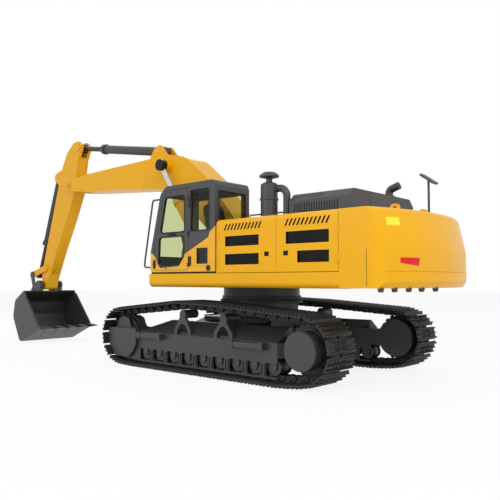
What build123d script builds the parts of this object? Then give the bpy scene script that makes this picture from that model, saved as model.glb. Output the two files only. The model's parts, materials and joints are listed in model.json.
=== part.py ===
# Crawler excavator of the fifty-tonne class, standing with its bucket curled on the ground.
# Frame: +X runs forward along the boom, +Y to the cab side, +Z up.
# The origin is on the ground under the swing axis. Lengths are in millimetres.
import os
from math import acos, atan2, cos, degrees, hypot, pi, radians, sin

from build123d import *

os.makedirs("parts", exist_ok=True)

# Clearances
contact_gap = 0.3
pin_gap = 5
panel_gap = 7
side_gap = 10

# Track and rollers
track_centre_y = 1380
shoe_width = 700
shoe_count = 50
pin_height = 110
grouser_height = 36
plate_thickness = 19
link_depth = 55
link_inner_y = 50
link_outer_y = 120
sprocket_x = -2205
sprocket_z = 582
sprocket_pitch_radius = 432
idler_x = 2195
idler_z = 560
idler_pitch_radius = 435
roller_radius = 110
roller_count = 9
roller_first_x = -1560
roller_pitch = 390
roller_flange = 20
bend_reach = 220
carrier_seats = [(510, 1160), (-490, 1125)]

# Track frame
frame_inner_y = 1190
frame_outer_y = 1570
frame_bottom_z = 420
frame_edge_z = 650
frame_crest_z = 880
frame_crest_y = 1250
frame_rear_x = -1650
frame_front_x = 1775
skirt_bottom_z = 340
guard_thickness = 20
guard_bottom_z = 95
final_drive_radius = 310
final_drive_outer_y = 1742
sprocket_teeth = 23
carbody_top_z = 950
carbody_bottom_z = 620

# Swing ring and revolving frame
ring_radius = 753
ring_bottom_z = 1200
ring_split_z = 1335
deck_bottom_z = 1497
deck_plate = 40
deck_top_z = 1743
deck_half_width = 1500
deck_front_x = 1535
deck_rear_x = -2734
skirt_thickness = 30
centre_bay_y = 610
girder_inner_y = 335
girder_outer_y = 370

# Work equipment pins, seen from the side as (x, z)
boom_foot = (170, 2100)
boom_tip = (6370, 4090)
boom_cylinder_foot = (800, 1670)
boom_cylinder_eye = (2440, 4100)
arm_cylinder_foot = (2930, 4540)
arm_cylinder_eye = (6180, 5100)
bucket_pin = (7770, 1500)
bucket_cylinder_foot = (7300, 4450)
rocker_pin = (7670, 1960)
link_pin = (8290, 1790)
bucket_link_pin = (8120, 1306)

# Work equipment widths
boom_half_width = 290
boom_foot_half_width = 325
boom_nose_slot = 175
arm_half_width = 160
arm_tip_half_width = 180
link_plate_thickness = 32
rocker_inner_y = arm_tip_half_width + 6
power_link_inner_y = rocker_inner_y + link_plate_thickness + pin_gap
ear_inner_y = power_link_inner_y + link_plate_thickness + pin_gap
ear_outer_y = ear_inner_y + 50
bucket_half_width = 770
bucket_wall = 28
boom_cylinder_y = 475
eye_half_width = 64
rod_share = 0.62
boom_barrel_radius = 95
arm_barrel_radius = 105
bucket_barrel_radius = 88

# Upper body
housing_front_x = -300
door_seam_x = -1575
body_top_z = 2620
tail_radius = 3700
cab_inner_y = centre_bay_y + pin_gap
cab_outer_y = deck_half_width
cab_rear_x = -226
cab_floor_z = 1775
cab_roof_z = 3370
cab_wall = 45
glass_depth = 14
glass_thickness = 6


def save(piece, name):
    # Label one piece and write its file.
    piece.part.label = name
    export_step(piece.part, f"parts/{name}.step")


def side_plane(y):
    # Plane seen from the cab side at the given y: its axes are X and Z, and it extrudes towards -Y.
    return Plane.XZ.offset(-y)


def draw(rows):
    # Fill the closed outline whose rows hold two plane coordinates and a corner radius.
    with BuildLine() as loop:
        FilletPolyline(*[row[:2] for row in rows], radius=[row[2] for row in rows], close=True)
    make_face(loop.edges())


def draw_sharp(points):
    # Fill a closed outline of sharp corners.
    with BuildLine() as loop:
        Polyline(*points, close=True)
    make_face(loop.edges())


def bar_y(pin, radius, low, high, mode=Mode.ADD):
    # Round bar along Y at a pin, between two y values.
    with Locations(Location((pin[0], (low + high) / 2, pin[1]), (90, 0, 0))):
        Cylinder(radius, high - low, mode=mode)


def block(x, y, z, mode=Mode.ADD):
    # Box from three (low, high) pairs.
    with Locations(((x[0] + x[1]) / 2, (y[0] + y[1]) / 2, (z[0] + z[1]) / 2)):
        Box(x[1] - x[0], y[1] - y[0], z[1] - z[0], mode=mode)


def along(start, end, distance):
    # Point at a distance from start towards end, both (x, z).
    length = hypot(end[0] - start[0], end[1] - start[1])
    return (start[0] + (end[0] - start[0]) * distance / length,
            start[1] + (end[1] - start[1]) * distance / length)


def span(start, end):
    # Distance between two (x, z) points.
    return hypot(end[0] - start[0], end[1] - start[1])


def rod_between(start, end, y, radius, low, high, mode=Mode.ADD):
    # Round bar from low to high along the line from start to end, both (x, z), in the plane at y.
    middle = along(start, end, (low + high) / 2)
    tilt = degrees(atan2(end[0] - start[0], end[1] - start[1]))
    with Locations(Location((middle[0], y, middle[1]), (0, tilt, 0))):
        Cylinder(radius, high - low, mode=mode)


# The pin path runs tight round six circles: (x, z, radius)
lower_ring = roller_radius + link_depth + contact_gap
roller_z = pin_height + lower_ring
roller_last_x = roller_first_x + (roller_count - 1) * roller_pitch
carrier_ring = 140
path_circles = [
    (sprocket_x, sprocket_z, sprocket_pitch_radius),
    (roller_first_x - bend_reach, roller_z, lower_ring),
    (roller_last_x + bend_reach, roller_z, lower_ring),
    (idler_x, idler_z, idler_pitch_radius),
    (carrier_seats[0][0], carrier_seats[0][1] - carrier_ring, carrier_ring),
    (carrier_seats[1][0], carrier_seats[1][1] - carrier_ring, carrier_ring),
]


def tangent_heading(first, second):
    # Heading of the outer tangent from one path circle to the next, walking counter-clockwise.
    dx, dz = second[0] - first[0], second[1] - first[1]
    return atan2(dz, dx) - acos((first[2] - second[2]) / hypot(dx, dz)) + pi / 2


def pin_path():
    # Straight runs and arcs of the pin path: (kind, centre or start, heading, length, radius).
    count = len(path_circles)
    headings = [tangent_heading(path_circles[i], path_circles[(i + 1) % count]) for i in range(count)]
    runs = []
    for i, circle in enumerate(path_circles):
        following = path_circles[(i + 1) % count]
        start_heading = headings[i - 1]
        turn = (headings[i] - start_heading) % (2 * pi)
        runs.append(("arc", circle[:2], start_heading, turn * circle[2], circle[2]))
        leave = (circle[0] + circle[2] * sin(headings[i]), circle[1] - circle[2] * cos(headings[i]))
        reach = (following[0] + following[2] * sin(headings[i]),
                 following[1] - following[2] * cos(headings[i]))
        runs.append(("line", leave, headings[i], span(leave, reach), 0))
    return runs


def point_on_path(runs, distance):
    # Point of the pin path at a distance from its start.
    for kind, place, heading, length, radius in runs:
        if distance <= length:
            if kind == "line":
                return (place[0] + distance * cos(heading), place[1] + distance * sin(heading))
            angle = heading + distance / radius
            return (place[0] + radius * sin(angle), place[1] - radius * cos(angle))
        distance -= length
    return point_on_path(runs, distance)


track_runs = pin_path()
track_length = sum(run[3] for run in track_runs)
pins = [point_on_path(track_runs, track_length * i / shoe_count) for i in range(shoe_count)]

# One shoe seen from the side: (share of the pitch, height over the pins)
shoe_plate_in = link_depth
shoe_plate_out = link_depth + plate_thickness
shoe_tip = shoe_plate_out + grouser_height
shoe_outline = [
    (0.04, shoe_plate_out), (0.11, shoe_tip), (0.17, shoe_plate_out),
    (0.40, shoe_plate_out), (0.47, shoe_tip), (0.53, shoe_plate_out),
    (0.76, shoe_plate_out), (0.84, shoe_tip), (0.91, shoe_plate_out),
]


def loop_points(outline):
    # Points of an outline repeated on every link, each in its own link's line.
    points = []
    for i, pin in enumerate(pins):
        following = pins[(i + 1) % shoe_count]
        pitch = span(pin, following)
        ux, uz = (following[0] - pin[0]) / pitch, (following[1] - pin[1]) / pitch
        for share, height in outline:
            points.append((pin[0] + ux * share * pitch + uz * height,
                           pin[1] + uz * share * pitch - ux * height))
    return points


chain_inside = loop_points([(0.5, -link_depth)])


def wheel_radius(centre):
    # Radius of a wheel at centre that runs just clear of the inside of the chain.
    shortest = idler_pitch_radius
    for i, start in enumerate(chain_inside):
        end = chain_inside[(i + 1) % shoe_count]
        length = span(start, end)
        ux, uz = (end[0] - start[0]) / length, (end[1] - start[1]) / length
        share = max(0, min(length, (centre[0] - start[0]) * ux + (centre[1] - start[1]) * uz))
        shortest = min(shortest, span(centre, (start[0] + share * ux, start[1] + share * uz)))
    return shortest - contact_gap


# Tracks: a wide band of shoes on two rows of links
for side, name in ((1, "track_left"), (-1, "track_right")):
    centre_y = side * track_centre_y
    with BuildPart() as track:
        with BuildSketch(side_plane(centre_y + shoe_width / 2)):
            draw_sharp(loop_points(shoe_outline))
            with BuildSketch(mode=Mode.PRIVATE) as band_inside:
                draw_sharp(loop_points([(0.5, shoe_plate_in)]))
            add(band_inside.sketch, mode=Mode.SUBTRACT)
        extrude(amount=shoe_width)
        for row in (-1, 1):
            row_y = centre_y + row * (link_inner_y + link_outer_y) / 2
            with BuildSketch(side_plane(row_y + (link_outer_y - link_inner_y) / 2)):
                draw_sharp(loop_points([(0.5, shoe_plate_in + plate_thickness / 2)]))
                with BuildSketch(mode=Mode.PRIVATE) as link_inside:
                    draw_sharp(chain_inside)
                add(link_inside.sketch, mode=Mode.SUBTRACT)
            extrude(amount=link_outer_y - link_inner_y)
    save(track, name)

# Drive sprockets: toothed rings on the final drives
tooth_root = sprocket_pitch_radius - 34
tooth_tip = sprocket_pitch_radius + 12
sprocket_half = 36
with BuildPart() as sprockets:
    with BuildSketch(side_plane(track_centre_y + sprocket_half)):
        with Locations((sprocket_x, sprocket_z)):
            Circle(tooth_root)
            with PolarLocations(0, sprocket_teeth):
                with Locations((tooth_root, 0)):
                    Trapezoid(2 * (tooth_tip - tooth_root), 62, 66, rotation=-90)
            Circle(final_drive_radius + contact_gap, mode=Mode.SUBTRACT)
    extrude(amount=2 * sprocket_half)
    mirror(about=Plane.XZ)
save(sprockets, "sprockets")

# Final drives: planetary housings inside the sprockets
drive_inner_y = 1224
with BuildPart() as final_drives:
    bar_y((sprocket_x, sprocket_z), final_drive_radius, drive_inner_y, track_centre_y + sprocket_half + 60)
    bar_y((sprocket_x, sprocket_z), final_drive_radius - 16, drive_inner_y, final_drive_outer_y - 12)
    bar_y((sprocket_x, sprocket_z), final_drive_radius - 26, final_drive_outer_y - 12, final_drive_outer_y)
    mirror(about=Plane.XZ)
save(final_drives, "final_drives")

# Front idlers
idler_tread = wheel_radius((idler_x, idler_z))
with BuildPart() as idlers:
    bar_y((idler_x, idler_z), idler_tread, track_centre_y - link_outer_y, track_centre_y + link_outer_y)
    bar_y((idler_x, idler_z), idler_tread + 40, track_centre_y - link_inner_y + pin_gap,
          track_centre_y + link_inner_y - pin_gap)
    bar_y((idler_x, idler_z), 70, frame_inner_y + guard_thickness, frame_outer_y - guard_thickness)
    mirror(about=Plane.XZ)
save(idlers, "idlers")

# One roller about the Y axis: half widths and radii of its steps, from the middle out
roller_tread = min(wheel_radius((roller_first_x + i * roller_pitch, roller_z)) for i in range(roller_count))
roller_steps = [(45, 126), (120, roller_tread), (142, roller_radius + roller_flange)]
axle_half = (frame_outer_y - frame_inner_y) / 2 - guard_thickness - contact_gap
axle_radius = 62
with BuildPart() as lower_roller:
    for half, radius in roller_steps[::-1]:
        bar_y((0, 0), radius, -half, half, Mode.ADD)
        if half == roller_steps[2][0]:
            bar_y((0, 0), roller_steps[2][1] + 1, -roller_steps[1][0], roller_steps[1][0], Mode.SUBTRACT)
            bar_y((0, 0), roller_tread, -half, half, Mode.ADD)
    bar_y((0, 0), axle_radius, -axle_half, axle_half)
    for end in (-1, 1):
        block((-axle_radius, axle_radius), sorted((end * (roller_steps[2][0] + pin_gap), end * axle_half)),
              (0, frame_bottom_z - roller_z))
with BuildPart() as track_rollers:
    for i in range(roller_count):
        with Locations((roller_first_x + i * roller_pitch, track_centre_y, roller_z)):
            add(lower_roller.part)
    mirror(about=Plane.XZ)
save(track_rollers, "track_rollers")

# Carrier rollers on brackets over the track frame
with BuildPart() as carrier_rollers:
    for x, pin_z in carrier_seats:
        centre = (x, pin_z - carrier_ring)
        tread = wheel_radius(centre)
        bar_y(centre, tread, track_centre_y - link_outer_y - 12, track_centre_y + link_outer_y + 12)
        bar_y(centre, 40, track_centre_y - link_outer_y - 12, frame_outer_y - 50)
    mirror(about=Plane.XZ)
save(carrier_rollers, "carrier_rollers")

# Track frames: sloped box, skirts with a window at each roller, idler guards, carrier brackets and steps
guard_rows = [
    (frame_front_x - 30, guard_bottom_z, 0), (2230, 130, 250), (2460, 200, 150), (2600, 370, 150),
    (2620, 660, 70),
    (2430, 720, 60), (2360, 880, 60), (2210, 935, 80), (2060, 880, 60), (1990, 720, 60),
    (frame_front_x - 30, 700, 0),
]
rail_height = 35
window_width = 270
pillar_rib = 16
idler_cover_depth = 60
step_spans = [(1010, 1680), (-1440, -720)]
step_reach = 110
step_end = 90
guard_planes = (frame_outer_y, frame_inner_y + guard_thickness)
for side, name in ((1, "track_frame_left"), (-1, "track_frame_right")):
    with BuildPart() as track_frame:
        with BuildSketch(Plane.YZ.offset(frame_rear_x)):
            draw([
                (frame_inner_y, frame_bottom_z, 0), (frame_outer_y, frame_bottom_z, 0),
                (frame_outer_y, frame_edge_z, 12), (frame_crest_y, frame_crest_z, 30),
                (frame_inner_y, frame_crest_z, 12),
            ])
        extrude(amount=frame_front_x - frame_rear_x)
        with BuildSketch(Plane.XY.offset(frame_bottom_z)):
            draw([
                (frame_rear_x + 1, frame_outer_y, 0), (frame_rear_x - 200, frame_crest_y + 60, 0),
                (frame_rear_x - 200, frame_inner_y, 0), (frame_rear_x + 1, frame_inner_y, 0),
            ])
        extrude(amount=frame_edge_z - frame_bottom_z)
        with BuildSketch(side_plane(frame_outer_y + 1)):
            draw([
                (frame_front_x - 640, frame_crest_z + 1, 0), (frame_front_x + 1, frame_crest_z + 1, 0),
                (frame_front_x + 1, frame_edge_z, 0),
            ])
        extrude(amount=frame_outer_y - frame_inner_y + 2, mode=Mode.SUBTRACT)
        for outer_y in guard_planes:
            with BuildSketch(side_plane(outer_y)):
                draw(guard_rows)
                draw([
                    (frame_rear_x, guard_bottom_z, 0), (frame_front_x, guard_bottom_z, 0),
                    (frame_front_x, frame_bottom_z + 1, 0), (frame_rear_x, frame_bottom_z + 1, 0),
                ])
                for i in range(roller_count):
                    with Locations((roller_first_x + i * roller_pitch,
                                    (guard_bottom_z + rail_height + skirt_bottom_z) / 2)):
                        Rectangle(window_width, skirt_bottom_z - guard_bottom_z - rail_height,
                                  mode=Mode.SUBTRACT)
            extrude(amount=guard_thickness)
        with BuildSketch(side_plane(frame_outer_y + pillar_rib)):
            for i in range(roller_count - 1):
                with Locations((roller_first_x + (i + 0.5) * roller_pitch,
                                (guard_bottom_z + skirt_bottom_z) / 2 + 15)):
                    with GridLocations(62, 1, 2, 1):
                        Rectangle(pillar_rib, skirt_bottom_z - guard_bottom_z - 70)
        extrude(amount=pillar_rib)
        with BuildSketch(side_plane(frame_outer_y + idler_cover_depth)):
            with Locations((idler_x, idler_z)):
                Circle(idler_pitch_radius + 10)
            with BuildSketch(mode=Mode.PRIVATE) as cover_zone:
                draw([
                    (frame_front_x - 10, 150, 0), (idler_x + 500, 150, 0),
                    (idler_x + 500, 700, 0), (frame_front_x - 10, 700, 0),
                ])
            add(cover_zone.sketch, mode=Mode.INTERSECT)
        extrude(amount=idler_cover_depth)
        bar_y((sprocket_x, sprocket_z), tooth_tip + side_gap, drive_inner_y, frame_outer_y + 1,
              Mode.SUBTRACT)
        block((frame_rear_x - 560, frame_rear_x + 200), (frame_inner_y - 70, drive_inner_y - contact_gap),
              (430, 730))
        bar_y((sprocket_x, sprocket_z), final_drive_radius + 25, frame_inner_y - 70,
              drive_inner_y - contact_gap)
        with BuildSketch(side_plane(frame_inner_y - 69)):
            with Locations((sprocket_x, sprocket_z)):
                with PolarLocations(final_drive_radius - 90, 8):
                    Rectangle(110, 120)
        extrude(amount=26, mode=Mode.SUBTRACT)
        for x, pin_z in carrier_seats:
            top_z = pin_z - carrier_ring
            with BuildSketch(side_plane(frame_outer_y - contact_gap)):
                draw([
                    (x - 215, frame_edge_z - 10, 0), (x + 215, frame_edge_z - 10, 0),
                    (x + 215, frame_edge_z + 90, 60),
                    (x + 75, top_z - 60, 40), (x + 75, top_z + 75, 74), (x - 75, top_z + 75, 74),
                    (x - 75, top_z - 60, 40), (x - 215, frame_edge_z + 90, 60),
                ])
            extrude(amount=50)
            with BuildSketch(side_plane(frame_outer_y)):
                draw([
                    (x - 140, frame_edge_z - 11, 0), (x + 140, frame_edge_z - 11, 0),
                    (x + 140, frame_edge_z + 90, 60), (x, frame_edge_z + 240, 90),
                    (x - 140, frame_edge_z + 90, 60),
                ])
            extrude(amount=51, mode=Mode.SUBTRACT)
            block((x - 215, x + 215), (frame_outer_y - 50 - contact_gap, frame_outer_y - contact_gap),
                  (frame_edge_z - 40, frame_edge_z + 1))
            bar_y((x, top_z), 40 + contact_gap, frame_outer_y - 60, frame_outer_y - 30, Mode.SUBTRACT)
        for low, high in step_spans:
            with BuildSketch(Plane.YZ.offset(low)):
                draw([
                    (frame_outer_y - 1, 545, 0), (frame_outer_y + step_reach, 545, 20),
                    (frame_outer_y + step_reach, 640, 20), (frame_outer_y - 1, 640, 0),
                ])
            extrude(amount=high - low)
            for x in (low, high - step_end):
                block((x, x + step_end), (frame_outer_y - 1, frame_outer_y + step_reach + 8), (535, 650))
        if side < 0:
            mirror(about=Plane.XZ, mode=Mode.REPLACE)
    save(track_frame, name)

# Carbody: centre box, four legs and the ring pedestal
leg_end_y = frame_inner_y
with BuildPart() as carbody:
    with BuildSketch(Plane.XY.offset(carbody_bottom_z)):
        draw([(-820, -800, 120), (820, -800, 120), (820, 800, 120), (-820, 800, 120)])
    extrude(amount=carbody_top_z - carbody_bottom_z)
    for leg_x in (-1, 1):
        with BuildSketch(Plane.XZ.offset(-700)):
            draw([
                (leg_x * 250, carbody_bottom_z + 10, 0), (leg_x * 820, carbody_bottom_z + 10, 0),
                (leg_x * 820, carbody_top_z - 20, 0), (leg_x * 250, carbody_top_z - 20, 0),
            ])
        with BuildSketch(Plane.XZ.offset(-leg_end_y)):
            draw([
                (leg_x * 620, 400, 0), (leg_x * 1180, 400, 0),
                (leg_x * 1180, 660, 0), (leg_x * 620, 660, 0),
            ])
        loft()
        with BuildSketch(Plane.XZ.offset(700)):
            draw([
                (leg_x * 250, carbody_bottom_z + 10, 0), (leg_x * 820, carbody_bottom_z + 10, 0),
                (leg_x * 820, carbody_top_z - 20, 0), (leg_x * 250, carbody_top_z - 20, 0),
            ])
        with BuildSketch(Plane.XZ.offset(leg_end_y)):
            draw([
                (leg_x * 620, 400, 0), (leg_x * 1180, 400, 0),
                (leg_x * 1180, 660, 0), (leg_x * 620, 660, 0),
            ])
        loft()
    with Locations((0, 0, (carbody_top_z + ring_bottom_z) / 2)):
        Cylinder(ring_radius - 55, ring_bottom_z - carbody_top_z)
save(carbody, "carbody")

# Tow eyes: flat lugs with upright bores on the front and rear of the carbody
tow_eye_radius = 35
tow_eye_z = 770
tow_eye_thickness = 40
with BuildPart() as tow_eyes:
    for end in (-1, 1):
        with BuildSketch(Plane.XY.offset(tow_eye_z - tow_eye_thickness / 2)):
            draw([(end * 820, -70, 0), (end * 820, 70, 0), (end * 960, 70, 69), (end * 960, -70, 69)])
            with Locations((end * 890, 0)):
                Circle(tow_eye_radius, mode=Mode.SUBTRACT)
        extrude(amount=tow_eye_thickness)
save(tow_eyes, "tow_eyes")

# Swing ring: the fixed lower race and the turning upper race
with BuildPart() as ring_lower:
    with Locations((0, 0, (ring_bottom_z + ring_split_z) / 2)):
        Cylinder(ring_radius, ring_split_z - ring_bottom_z)
    with Locations((0, 0, ring_bottom_z + 25)):
        Cylinder(ring_radius + 35, 50)
save(ring_lower, "ring_lower")
with BuildPart() as ring_upper:
    with Locations((0, 0, (ring_split_z + contact_gap + deck_bottom_z) / 2)):
        Cylinder(ring_radius - 25, deck_bottom_z - ring_split_z - contact_gap)
save(ring_upper, "ring_upper")

# Revolving frame: base plate, boom brackets and cylinder lugs
deck_lower_round = 95
bottom_plate_top = deck_bottom_z + deck_plate
nose_x = boom_cylinder_foot[0] + 110
with BuildPart() as revolving_frame:
    block((deck_rear_x + contact_gap, deck_front_x - skirt_thickness),
          (-deck_half_width + deck_lower_round, deck_half_width - deck_lower_round),
          (deck_bottom_z, bottom_plate_top))
    block((nose_x - 20, deck_front_x + 1), (-centre_bay_y, centre_bay_y),
          (deck_bottom_z - 1, deck_top_z + 1),
          Mode.SUBTRACT)
    for side in (-1, 1):
        outer = max(side * girder_inner_y, side * girder_outer_y)
        with BuildSketch(side_plane(outer)):
            draw([
                (deck_rear_x + 60, deck_bottom_z, 0), (nose_x, deck_bottom_z, 0),
                (nose_x, boom_cylinder_foot[1] + 105, 100), (boom_foot[0] + 260, boom_foot[1] + 70, 120),
                (boom_foot[0] + 120, boom_foot[1] + 230, 110), (boom_foot[0] - 160, boom_foot[1] + 200, 110),
                (-262, deck_top_z, 0), (deck_rear_x + 60, deck_top_z, 0),
            ])
            with Locations(boom_foot):
                Circle(70 + contact_gap, mode=Mode.SUBTRACT)
            with Locations(boom_cylinder_foot):
                Circle(55 + contact_gap, mode=Mode.SUBTRACT)
        extrude(amount=girder_outer_y - girder_inner_y)
        lug_outer = centre_bay_y - pin_gap
        outer = max(side * (lug_outer - 25), side * lug_outer)
        with BuildSketch(side_plane(outer)):
            draw([
                (350, deck_bottom_z, 0), (nose_x, deck_bottom_z, 0),
                (nose_x, boom_cylinder_foot[1] + 100, 100), (650, boom_cylinder_foot[1] + 100, 80),
                (450, 1600, 60),
            ])
            with Locations(boom_cylinder_foot):
                Circle(55 + contact_gap, mode=Mode.SUBTRACT)
        extrude(amount=25)
save(revolving_frame, "revolving_frame")

# Side decks: outer skirts with a rounded lower edge, front walls and the walkway plates
with BuildPart() as side_decks:
    block((deck_rear_x + contact_gap, deck_front_x), (centre_bay_y, deck_half_width),
          (deck_bottom_z, deck_top_z))
    outer_edges = side_decks.edges().filter_by(Axis.X).group_by(Axis.Y)[-1].sort_by(Axis.Z)
    fillet(outer_edges[0], deck_lower_round)
    fillet(side_decks.edges().filter_by(Axis.X).group_by(Axis.Y)[-1].sort_by(Axis.Z)[-1], 15)
    block((deck_rear_x, deck_front_x - skirt_thickness),
          (centre_bay_y - 1, deck_half_width - skirt_thickness),
          (deck_bottom_z + deck_lower_round, deck_top_z - deck_plate), Mode.SUBTRACT)
    block((deck_rear_x, deck_front_x - skirt_thickness),
          (centre_bay_y - 1, deck_half_width - deck_lower_round),
          (deck_bottom_z - 1, deck_bottom_z + deck_lower_round + 1), Mode.SUBTRACT)
    mirror(about=Plane.XZ)
save(side_decks, "side_decks")

# Counterweight: a turned tail cut by the machine's width, with rounded side corners
tail_corner_x = -(tail_radius ** 2 - deck_half_width ** 2) ** 0.5
tail_tangent_x = tail_radius ** 2 / tail_corner_x
counterweight_bottom_z = 1505
groove_z = deck_top_z
groove_depth = 9
with BuildPart() as counterweight:
    with BuildSketch(Plane.XZ):
        draw([
            (0, counterweight_bottom_z, 0), (tail_radius - 60, counterweight_bottom_z, 0),
            (tail_radius, counterweight_bottom_z + 95, 60), (tail_radius, groove_z - groove_depth, 0),
            (tail_radius - groove_depth, groove_z, 0), (tail_radius, groove_z + groove_depth, 0),
            (tail_radius, 2080, 700),
            (tail_radius - 110, 2600, 0), (tail_radius - 150, 2650, 60), (0, 2650, 0),
        ])
    revolve(axis=Axis.Z, revolution_arc=360)
    with BuildSketch(Plane.XY.offset(counterweight_bottom_z - 1)):
        draw([
            (deck_rear_x, -deck_half_width, 0), (deck_rear_x, deck_half_width, 0),
            (tail_corner_x, deck_half_width, 280), (tail_tangent_x, 0, 0),
            (tail_corner_x, -deck_half_width, 280),
        ])
    extrude(amount=1200, mode=Mode.INTERSECT)
save(counterweight, "counterweight")

# Lifting eyes on the counterweight
lifting_eye_x = -3090
lifting_eye_radius = 32
with BuildPart() as lifting_eyes:
    for y in (-480, 480):
        with BuildSketch(side_plane(y + 20)):
            draw([
                (lifting_eye_x - 90, 2650, 0), (lifting_eye_x + 90, 2650, 0),
                (lifting_eye_x + 70, 2790, 65), (lifting_eye_x - 70, 2790, 65),
            ])
            with Locations((lifting_eye_x, 2722)):
                Circle(lifting_eye_radius, mode=Mode.SUBTRACT)
        extrude(amount=40)
save(lifting_eyes, "lifting_eyes")

# Machinery housing: walls and roof behind the cab
hood_x = (-2630, -1490)
hood_half_width = deck_half_width - 450
roof_thickness = 40
housing_right_y = -600
roof_z = body_top_z + roof_thickness
roof_edge_y = deck_half_width - 106
wall_thickness = 35
with BuildPart() as machinery_housing:
    with BuildSketch(Plane.YZ.offset(housing_front_x)):
        draw([
            (housing_right_y, deck_top_z, 0), (deck_half_width, deck_top_z, 0),
            (deck_half_width, roof_z - 2, 95),
            (housing_right_y, roof_z - 2, 0),
        ])
    extrude(amount=wall_thickness)
    block((door_seam_x - 17, door_seam_x + 17), (-roof_edge_y, roof_edge_y), (deck_top_z, body_top_z + 1))
    block((deck_rear_x + 6, deck_rear_x + 6 + wall_thickness), (-roof_edge_y, roof_edge_y),
          (deck_top_z, body_top_z + 1))
    block((door_seam_x, housing_front_x + 1), (housing_right_y, housing_right_y + wall_thickness),
          (deck_top_z, body_top_z + 1))
    block((deck_rear_x + 6, housing_front_x + 1), (housing_right_y, roof_edge_y), (body_top_z, roof_z))
    block((deck_rear_x + 6, door_seam_x + 17), (-roof_edge_y, housing_right_y + 1), (body_top_z, roof_z))
    block((hood_x[0] + 60, hood_x[1] - 60), (-hood_half_width + 60, hood_half_width - 60),
          (body_top_z - 1, roof_z + 1), Mode.SUBTRACT)
    block((hood_x[0] + 60, door_seam_x + 100), (-hood_half_width + 60, hood_half_width - 60),
          (deck_top_z + 300, body_top_z + 1), Mode.SUBTRACT)
save(machinery_housing, "machinery_housing")

# Door hinges: a fixed knuckle with its leaf, and the door's knuckles above and below it
knuckle_radius = 11
knuckle_half = 30
hood_hinge_x = hood_x[0] - 12
hood_hinge_z = roof_z + 14
hood_hinge_y = (-700, 700)
hinge_y = deck_half_width + knuckle_radius
leaf_thickness = 5
door_hinge_heights = [1950, 2350]
cab_hinge_heights = [1900, 2460, 3080]


def fixed_knuckles(x, side, reach, heights):
    # Knuckles at x with leaves that run by reach over the fixed panel.
    for z in heights:
        with Locations((x, side * hinge_y, z)):
            Cylinder(knuckle_radius, 2 * knuckle_half)
        low, high = sorted((side * deck_half_width, side * (deck_half_width + leaf_thickness)))
        block(sorted((x, x + reach)), (low, high), (z - knuckle_half, z + knuckle_half))


def door_knuckles(x, side, reach, heights):
    # The door's own knuckles, with leaves that run by reach over the door.
    for z in heights:
        for end in (-1, 1):
            low, high = sorted((z + end * (knuckle_half + contact_gap), z + end * (knuckle_half + 35)))
            with Locations((x, side * hinge_y, (low + high) / 2)):
                Cylinder(knuckle_radius, high - low)
            leaf = sorted((side * deck_half_width, side * (deck_half_width + leaf_thickness)))
            block(sorted((x, x + reach)), leaf, (low, high))


# Side doors: (name, low x, high x, side, hinge x)
door_wall = 50
door_bottom_z = deck_top_z + panel_gap
side_doors = [
    ("left_front_door", door_seam_x + 3, housing_front_x - 5, 1, housing_front_x - 2),
    ("left_rear_door", deck_rear_x + 7, door_seam_x - 3, 1, deck_rear_x + 3),
    ("right_rear_door", deck_rear_x + 7, door_seam_x - 3, -1, deck_rear_x + 3),
]
door_hinge_x = {name: hinge_x for name, _, _, _, hinge_x in side_doors}

# Grilles of a door: (inset from its rear edge, inset from its front edge, low z, high z)
front_grilles = [(352, 165, 2190, 2360), (352, 165, 1880, 2060)]
rear_grilles = [(157, 192, 2180, 2370), (157, 412, 1890, 2070)]
grille_depth = 34
slat_pitch = 30
slat_thickness = 7

# Slanted louvres over them: (first inset from the rear edge, pitch, count)
front_louvres = (330, 54, 15)
rear_louvres = (175, 76, 11)
louvre_z = 2515
louvre_length = 122
louvre_width = 26
louvre_slant = 72
latch_size = (95, 75)
latch_z = 2040
latch_inset = 190
for name, low_x, high_x, side, hinge_x in side_doors:
    front = name == "left_front_door"
    outer = side * deck_half_width
    with BuildPart() as door:
        with BuildSketch(Plane.YZ.offset(low_x)):
            inner = side * (deck_half_width - door_wall)
            draw([
                (outer, door_bottom_z, 0), (outer, roof_z - 2, 95),
                (side * (roof_edge_y + panel_gap), roof_z - 2, 0),
                (side * (roof_edge_y + panel_gap), roof_z - 46, 0),
                (inner, roof_z - 46, 40), (inner, door_bottom_z, 0),
            ])
        extrude(amount=high_x - low_x)
        recess = sorted((side * (deck_half_width - grille_depth), side * (deck_half_width + 1)))
        slat = sorted((side * (deck_half_width - grille_depth), side * (deck_half_width - 10)))
        for rear_inset, front_inset, low_z, high_z in front_grilles if front else rear_grilles:
            field = (low_x + rear_inset, high_x - front_inset)
            block(field, recess, (low_z, high_z), Mode.SUBTRACT)
            for i in range(1, int((high_z - low_z) / slat_pitch) + 1):
                slat_z = low_z + i * slat_pitch
                block(field, slat, (slat_z - slat_thickness, slat_z))
        first, pitch, count = front_louvres if front else rear_louvres
        with BuildSketch(side_plane(recess[1])):
            for i in range(count):
                with Locations((low_x + first + i * pitch, louvre_z)):
                    SlotOverall(louvre_length, louvre_width, rotation=louvre_slant)
        extrude(amount=recess[1] - recess[0], mode=Mode.SUBTRACT)
        latch_x = low_x + latch_inset if front else high_x - latch_inset
        block((latch_x - latch_size[0] / 2, latch_x + latch_size[0] / 2),
              sorted((side * (deck_half_width - 12), side * (deck_half_width + 1))),
              (latch_z - latch_size[1] / 2, latch_z + latch_size[1] / 2), Mode.SUBTRACT)
        door_knuckles(hinge_x, side, 45 if hinge_x < low_x else -45, door_hinge_heights)
    save(door, name)

# Engine block: one plain mass on the girders
with BuildPart() as engine_block:
    block((-2560, -1700), (-620, 620), (deck_top_z + contact_gap, 2560))
save(engine_block, "engine_block")

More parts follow.
